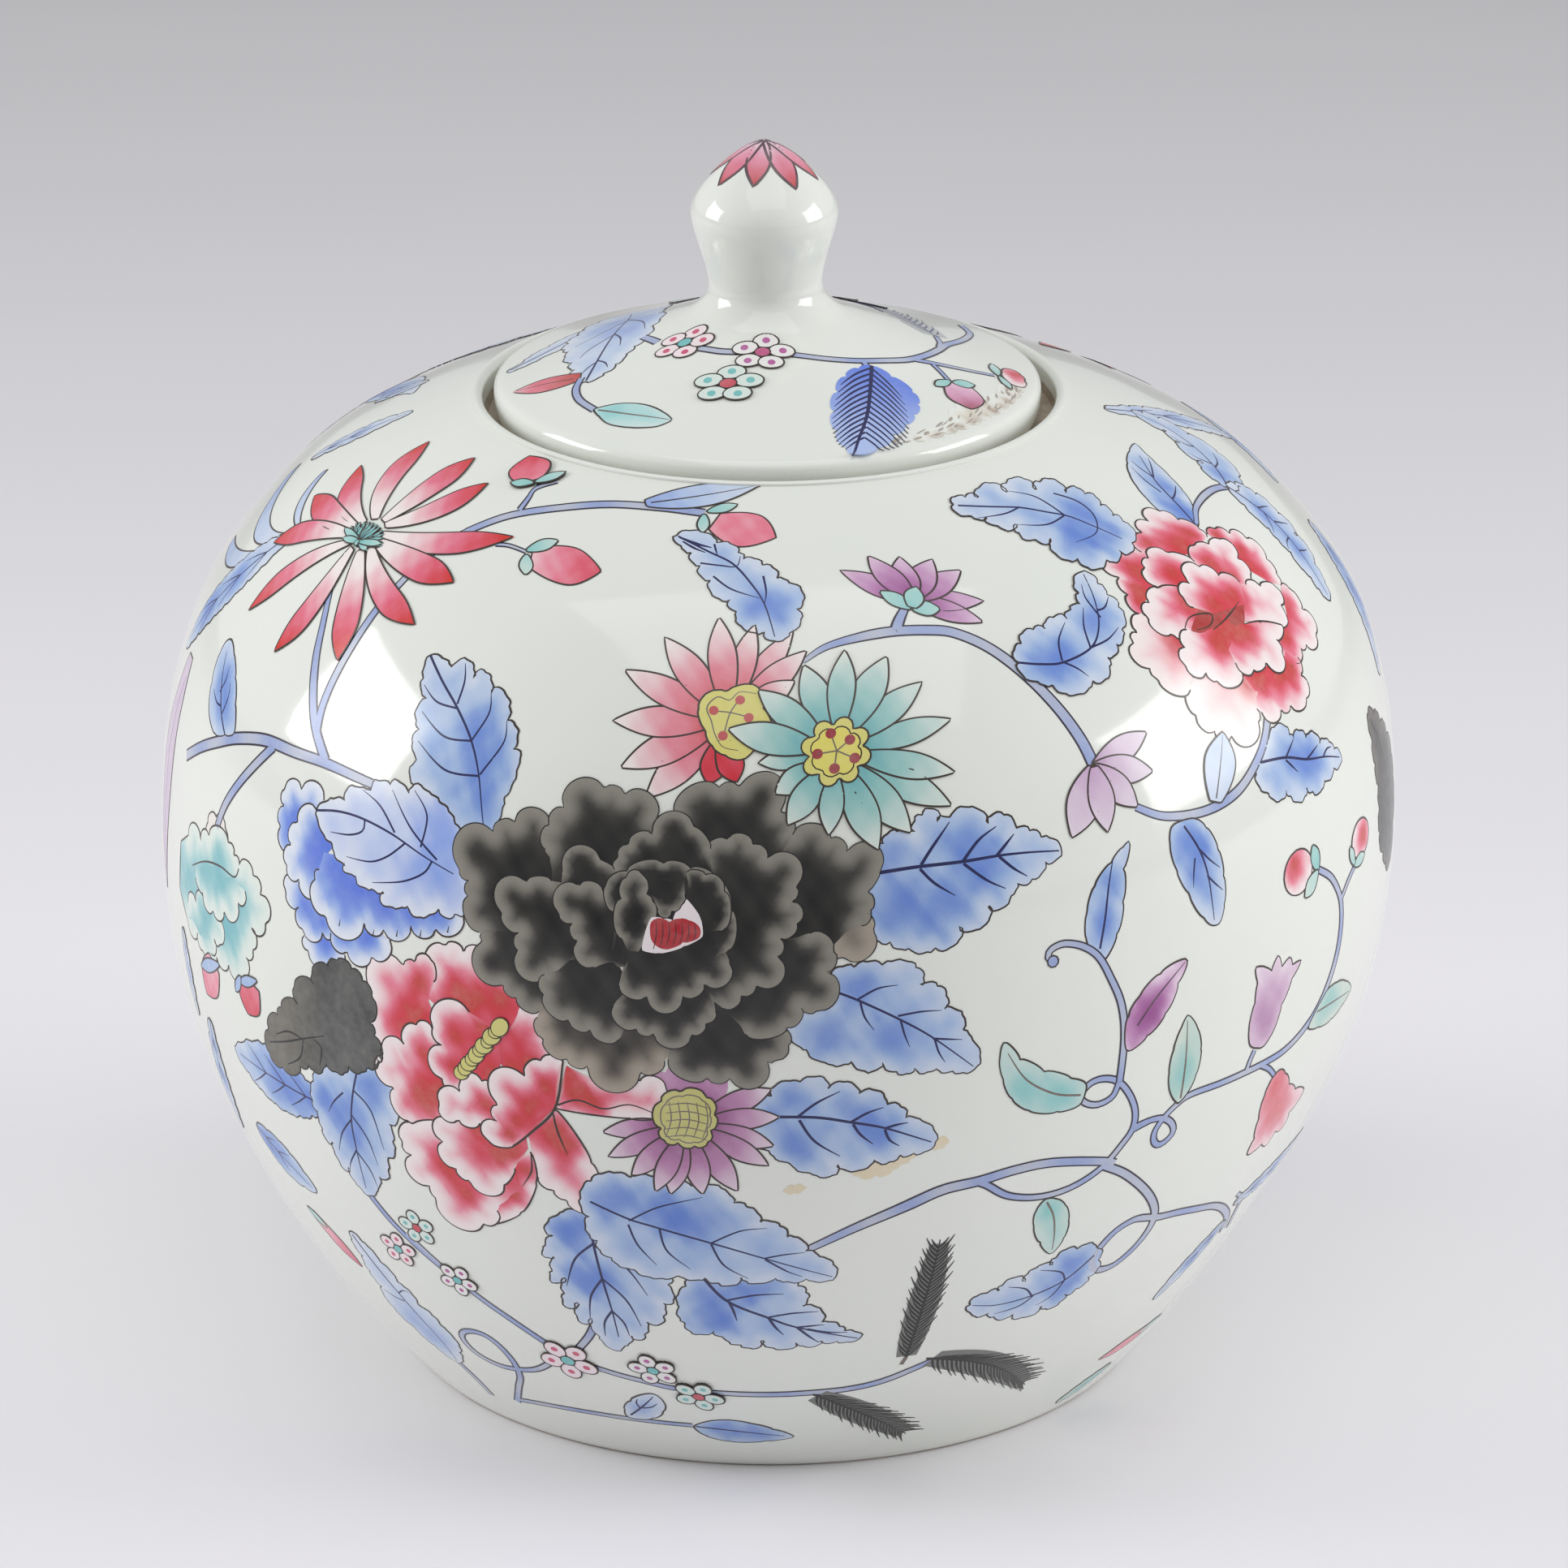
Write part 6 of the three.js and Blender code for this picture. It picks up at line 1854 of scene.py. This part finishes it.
def right_edge_sprays():
    """Slim leaves that run over the right shoulder."""
    art = Painting("leaves_shoulder_right", "jar", PotFace(98, 205))
    plain_leaf(art, (88, 229), (104.8, 197), 6, LEAF_PALE, 0.5, 2)
    plain_leaf(art, (114, 203), (97, 190), 6, LEAF_BLUE, 0.5, 2)
    plain_leaf(art, (93, 182), (84, 153.4), 9, LEAF_BLUE, 0.5)
    art.finish(enamel)


def low_right_edge():
    """A stem, small leaves and a bud low on the right edge."""
    art = Painting("leaves_low_right_edge", "jar", PotFace(58, 40))
    at = art.face.find
    art.vines((at(57, 61.6), at(59.4, 58.4), at(60.6, 53), at(62, 48.6), 1.2, (0.9, 1, 0.8)))
    plain_leaf(art, (57.8, 58.6), (74, 63.6), 5, LEAF_BLUE, 0.5, 2)
    plain_leaf(art, (58.4, 53.4), (52.4, 35.6), 5.4, LEAF_BLUE, 0.5, 2)
    blade(art, at(60.4, 21.6), at(49.6, 18.6), 4.6, ROSY, 0.6, 0.5, 0.5, 0.5)
    blade(art, at(62.4, 22.6), at(57, 21), 2.6, LEAF_TEAL, 0.6, 0.2)
    plain_leaf(art, (57, 11), (47.6, 4.6), 4.4, LEAF_TEAL, 0.5, 0)
    art.finish(enamel)


left_edge_sprays()
low_left_edge()
right_edge_sprays()
low_right_edge()


# ---- lid -------------------------------------------------------------------------------
KNOB_WIDEST = 229.5
LID_PLAN = LID_LINE[LID_LINE[:, 1] < KNOB_SEAT + 0.1]
KNOB_PLAN = LID_LINE[LID_LINE[:, 1] > KNOB_WIDEST]


def lid_painting():
    """The flowers and leaves on the lid, front and back."""
    art = Painting("lid_sprays", "lid", LidFace(LID_PLAN, LID_OFFSET))
    leaf(art,
        [(-50, 1), (-47, 4.4), (-42, 11.4), (-36, 17.6), (-28, 23), (-24, 25), (-30, 18), (-37, 9.6),
            (-43, 5.2)],
        [[(-50, 1.4), (-42, 8), (-34, 15.6), (-28, 21)]], (), LEAF_PALE, 0.1)
    leaf(art,
        [(-34.5, -15.9), (-36.6, -8.7), (-37, -4.4), (-38.4, -0.1), (-37.7, 2.7), (-38.8, 5.2),
            (-38, 9), (-36, 14), (-35, 18), (-32.6, 23), (-28, 26.6), (-23.6, 27), (-21.2, 22),
            (-20.7, 13.4), (-21.3, 9), (-21, 3.4), (-22.7, 0), (-23.4, -4.4), (-25.6, -7.3),
            (-27.4, -9.4), (-29, -12.3), (-31.3, -14.4)],
        [[(-34.5, -15.5), (-32.5, -8), (-29.5, 4), (-27, 14), (-26.4, 24)],
            [(-29.5, 4), (-34, 0), (-36, -3.5)], [(-29.5, 4.5), (-28.2, 0), (-28.2, -4.5)],
            [(-27.3, 13), (-33, 8), (-37, 5)], [(-27, 14), (-24, 6), (-23.5, 0)],
            [(-32.6, -8.4), (-34.4, -10), (-35.4, -12)], [(-32.4, -8), (-31, -10), (-30.4, -12.6)]],
        [(-28, 4, 5), (-30, 14, 6), (-24, 8, 5)], LEAF_PALE, 0.25)
    blade(art, (-35.6, -13), (-48.6, -11.4), 6.2,
        (srgb(238, 214, 216), srgb(222, 112, 132), srgb(190, 40, 40)), 1.1, 0.25, 0.5, 0.5)
    art.ink([(-37, -13), (-43, -11.6), (-48, -11.4)], 0.3, (1, 0.4))
    art.vines(
        ((-35.4, -13.7), (-36.4, -18), (-35.6, -23), (-32.6, -28.4), 1.5, (0.9, 1)),
        ((-23.8, -4.4), (-21, -9.2), 1.6, (0.9, 1)),
        ((-12.9, -16), (-9, -18.2), (-5.2, -19.2), 1.4, (1, 1)),
        ((4.6, -20), (10.9, -19.8), (16.6, -18.4), (21.6, -15.9), (26.6, -12.3), (30.1, -7.6),
            (32.6, -2.3), (34.4, 3.4), (36.6, 8.4), (38.4, 14.1), (39.2, 20.6), (37.6, 28), 1.5,
            (0.8, 1, 1, 0.8)),
        ((33, 0), (33.2, 3), (32.4, 7), 1.3, (1, 0.8)),
        ((28, -11.2), (33.7, -9.1), (43.4, -6.5), 1.3, (1, 0.8)),
        ((31.6, -10.4), (33, -12.6), (34.6, -15.6), 1.1, (1, 0.9)),
        ((18.4, -18.2), (19.6, -20.9), 1.3, (1, 1)),
    )
    leaf(art,
        [(-32.8, -28), (-28.4, -27.9), (-23.4, -30), (-19.9, -33.4), (-17.9, -36.6), (-20.6, -38),
            (-25.6, -37), (-29.9, -34.4), (-31.6, -31.2)],
        [[(-32, -28.6), (-26, -32.4), (-18.4, -36.4)]], [(-29, -30, 4)],
        (srgb(204, 226, 222), srgb(164, 212, 212), srgb(104, 190, 194)), 0.06, dark=SOFT_INK)
    wash = srgb(168, 188, 234)
    art.fill(scalloped([(19.8, -18.8), (23.5, -20.5), (27.5, -24), (28.4, -28), (27.6, -32),
                (25.8, -36), (23.5, -40), (20.5, -45), (17, -49), (15, -46), (13.4, -41),
                (12.8, -35), (13.4, -29), (15, -24), (17.4, -20.6)],
            0.2),
        lambda spots: mixed(srgb(92, 124, 220), wash, eased(-spots[:, 1], 20, 44)), 1.2)
    for k in range(14):
        y = -19.5 - 1.75 * k
        x = 19.7 - 0.0026 * (y + 19) ** 2
        reach = 7.2 * math.sin(math.pi * min(1, 0.2 + 0.8 * (k + 1) / 16)) ** 0.6
        drop = min(1.25 * reach, y + 50)
        for way in (1, -1):
            art.ink([(x, y), (x + way * reach * 0.5, y - drop * 0.42), (x + way * reach, y - drop)],
                0.45, (1, 0.9, 0.3), NAVY)
    art.ink([(19.8, -18.6), (19.5, -26), (18.8, -35), (17.2, -43), (16, -49.6)], 0.6, (1.1, 1, 0.7), NAVY)
    feather(art, (32.6, 7), (22, 26), 9, 12, srgb(70, 76, 110), 0.04, 0.45)
    oval = [(45, -3.5), (45.6, -0.6), (47, -0.1), (48.6, -2), (49.2, -5), (48.8, -8.8), (47, -8.9),
        (45.6, -7)]
    petal(art, [*oval, oval[0]], [oval[0]], depth=4, bulge=0.12, deep=[(48, -2.5, 3.4)])
    blade(art, (44.2, -6), (43, 0), 2.2, LEAF_TEAL, 0.6, 0.2)
    blade(art, (44.2, -6), (46.7, -11.4), 1.8, LEAF_TEAL, 0.6, 0.2)
    blade(art, (36, -15.8), (38.8, -25.2), 7.4,
        (srgb(232, 214, 226), srgb(214, 150, 184), srgb(150, 30, 66)), 0.2, 0.9, 0.55, 0.6)
    blade(art, (35.2, -16), (39.6, -14.4), 3.2, LEAF_TEAL, 0.7, 0.4)
    blade(art, (34.8, -15.4), (31.8, -19.4), 2.4, LEAF_TEAL, 0.7, 0.4)
    blossom(art, -15.7, -13, 3.5, "pink", "teal", 55, 0.85)
    blossom(art, -0.9, -19.8, 3.7, "white", "plum", 80, 0.8)
    blossom(art, -7.4, -28, 4.1, "teal", "red", 80, 0.78)
    art.vines(((-14, 26), (-5, 30.6), (6, 32.4), (16, 31), (23, 26.4), 1.4, (0.8, 1, 0.8)))
    leaf(art, [(-14, 26.4), (-18, 31), (-19, 36), (-17, 42), (-13, 38), (-11.6, 32)],
        [[(-14, 27), (-15.4, 33), (-16.8, 40.4)]], [(-15, 31, 4)], LEAF_TEAL, 0.1, dark=SOFT_INK)
    blossom(art, -4, 36.6, 3.5, "white", "plum", 20)
    blossom(art, 5.6, 26.4, 3.4, "pink", "teal", 60)
    blossom(art, 11.6, 37, 3.6, "teal", "red", 10)
    art.finish(enamel)


def lid_stain():
    """The brown stain on the rim of the lid."""
    art = Painting("lid_stain", "lid", LidFace(LID_PLAN, LID_OFFSET))
    rim = [(49.3 * math.cos(a), 49.3 * math.sin(a)) for a in np.radians(np.linspace(-56, -10, 12))]
    inner = [(47, -9), (44.6, -15), (42.6, -19), (38.6, -22.6), (36, -26), (35.6, -31), (33.6, -35),
        (30, -38.6)]
    edge = scalloped([*rim, *inner], 0.3)

    def colour(spots):
        out = np.hypot(spots[:, 0], spots[:, 1])
        near = eased(gap_to(spots, np.vstack([edge, edge[:1]])), 0, 3.4)
        patch = np.clip(0.45 + 1.2 * (blotches(spots, 2.2) - 0.4), 0, 1)
        paint = mixed(srgb(212, 190, 160), srgb(150, 116, 82), eased(out, 43, 49.6) * patch)
        paint[:, 3] = np.clip((0.3 + 0.55 * patch) * near + 0.5 * eased(out, 47.4, 49.2) * patch, 0, 0.9)
        return paint

    art.fill(edge, colour, 0.7)
    for start, length, size, depth in rng.uniform(0, 1, (60, 4)):
        angle = -62 + 54 * start
        reach = 49.5 - 3.2 * depth**2
        turns = [angle + k * (0.5 + 1.2 * length) for k in range(3)]
        spots = [around((0, 0), reach - 0.5 * k * depth, turns[k]) for k in range(3)]
        art.ink(spots, 0.3 + 0.5 * size, (0.3, 1, 0.3), srgb(116, 90, 66, 0.7), smooth=True)
    art.finish(enamel)


def knob_petals():
    """The petals on the tip of the knob."""
    art = Painting("knob_petals", "lid", LidFace(KNOB_PLAN, KNOB_OFFSET))
    tones = (srgb(230, 208, 220), srgb(222, 134, 160), srgb(196, 44, 44))
    for number, degrees in enumerate([-102, -54, -146, -10, 170, 128, 86, 38]):
        reach = 10.4 if number else 9.6
        tip = around((0, 0), reach, degrees)
        blade(art, around((0, 0), 0.4, degrees), tip, 4.6, tones, 0.0, 1.0, 0.55, 0.25, 0.5,
            shade=srgb(84, 54, 66))
    art.finish(enamel)


lid_painting()
lid_stain()
knob_petals()


# ---- back of the jar -------------------------------------------------------------------
# The far side carries the same sprays again, half a turn round, with a plum peony in place
# of the black one.
def back_sprays(swing, tag):
    """Repeats the sprays of the front, turned by swing degrees."""
    black_peony(swing, tag, DEEP_PLUM, DEEP_PLUM, INK)
    for spray in (
        lower_peony, upper_daisies, right_arch, upper_peony, left_shoulder_leaves,
        blue_peony, teal_peony, middle_leaves, lower_left_leaves, purple_daisy, centre_leaves,
        looping_vine, bell_flowers, low_vines, low_right,
    ):
        spray(swing, tag)
    red_aster(swing + 22, tag)


def aster_stems():
    """Carries the far side's two loose stems on to the aster."""
    art = Painting("vine_aster_back", "jar", PotFace(143, 203))
    at = art.face.find
    art.vines(
        (at(132.6, 212.4), at(135.4, 211.6), at(138.6, 208.6), at(142, 204.6), 1.6, (0.9, 1)),
        (at(121.2, 192.2), at(126, 196.4), at(133, 199.4), at(141, 202), 1.5, (0.8, 1)),
    )
    art.finish(enamel)


back_sprays(180, "_back")
aster_stems()


# ---- floor, light, camera --------------------------------------------------------------
# Metres: the floor's radius, its drop below the foot, and where its painted shade starts and ends to
# fade: the floor is painted greyer away from the jar, in place of light falling off.
FLOOR_REACH = 6.0
FLOOR_GAP = 0.0001
FLOOR_SHADE_FADE = (0.1, 1.5)
# Painted light and shade: the floor's tone near the jar stands for lit floor, and the tone far off for
# floor in shade.
FLOOR_PAINTED_LIGHT = (srgb(234, 232, 236), srgb(238, 236, 239))
FLOOR_PAINTED_SHADE = (srgb(178, 176, 178), srgb(181, 179, 181))


def stage_floor():
    """A wide pale floor with painted shade: it greys with distance from the jar, where the light falls
    off.
    """
    rim = [
        (FLOOR_REACH * math.cos(a), FLOOR_REACH * math.sin(a), -FLOOR_GAP)
        for a in np.linspace(0, TAU, 49)[:-1]
    ]
    mesh = bpy.data.meshes.new("floor")
    mesh.from_pydata(rim, [], [tuple(range(len(rim)))])
    floor = bpy.data.objects.new("floor", mesh)
    bpy.context.scene.collection.objects.link(floor)
    n = Nodes("paper_floor_painted_shade")
    reach = n.add("ShaderNodeVectorMath", operation="LENGTH")
    n.link(n.add("ShaderNodeTexCoord").outputs["Object"], reach.inputs[0])
    near = n.mix(n.noise(6, 2), *FLOOR_PAINTED_LIGHT)
    far = n.mix(n.noise(6, 2), *FLOOR_PAINTED_SHADE)
    # Painted shade: the floor's colour runs from the lit tone to the shaded one with distance from the
    # jar.
    share = n.ramp(reach.outputs["Value"], *FLOOR_SHADE_FADE)
    n.link(n.mix(share, near, far), n.shader.inputs["Base Color"])
    n.shader.inputs["Roughness"].default_value = 0.75
    mesh.materials.append(n.material)


# Name, azimuth and elevation in degrees, distance, width and height in metres, and watts.
SOFTBOXES = [
    ("left_box", -90, 20, 1.5, 0.75, 0.75, 10.5),
    ("right_box", 86, 19, 1.5, 0.85, 0.8, 11),
    ("overhead", 10, 78, 1.8, 1.6, 1.6, 7.6),
]
JAR_MIDDLE = 0.12
ROOM_LIGHT = (0.97, 0.98, 1.0, 1)
ROOM_STRENGTH = 0.53


def softbox(name, azimuth, elevation, distance, width, height, power):
    """A rectangular light that looks at the middle of the jar."""
    light = bpy.data.lights.new(name, "AREA")
    light.shape = "RECTANGLE"
    light.size, light.size_y = width, height
    light.energy = power
    lamp = bpy.data.objects.new(name, light)
    a, e = math.radians(azimuth), math.radians(elevation)
    away = Vector((math.sin(a) * math.cos(e), -math.cos(a) * math.cos(e), math.sin(e)))
    lamp.location = Vector((0, 0, JAR_MIDDLE)) + away * distance
    lamp.rotation_euler = (-away).to_track_quat("-Z", "Y").to_euler()
    bpy.context.scene.collection.objects.link(lamp)


def studio():
    """The floor, the soft lights and the view settings."""
    stage_floor()
    for box in SOFTBOXES:
        softbox(*box)
    world = bpy.data.worlds.new("room")
    bpy.context.scene.world = world
    world.use_nodes = True
    world.node_tree.nodes["Background"].inputs["Color"].default_value = ROOM_LIGHT
    world.node_tree.nodes["Background"].inputs["Strength"].default_value = ROOM_STRENGTH
    bpy.context.scene.view_settings.view_transform = "Standard"
    bpy.context.scene.view_settings.look = "None"


ELEVATION = math.radians(20.5)
CAMERA_DISTANCE = 1.8
CAMERA_HEIGHT = 0.113
CAMERA_ASIDE = 0.00117
LENS = 211.6
SENSOR_WIDTH = 36


def camera():
    """The camera, tilted down at the jar."""
    data = bpy.data.cameras.new("camera")
    data.lens = LENS
    data.sensor_width = SENSOR_WIDTH
    view = bpy.data.objects.new("camera", data)
    view.location = (
        CAMERA_ASIDE,
        -CAMERA_DISTANCE * math.cos(ELEVATION),
        CAMERA_HEIGHT + CAMERA_DISTANCE * math.sin(ELEVATION),
    )
    view.rotation_euler = (math.pi / 2 - ELEVATION, 0, 0)
    bpy.context.scene.collection.objects.link(view)
    bpy.context.scene.camera = view


studio()
camera()
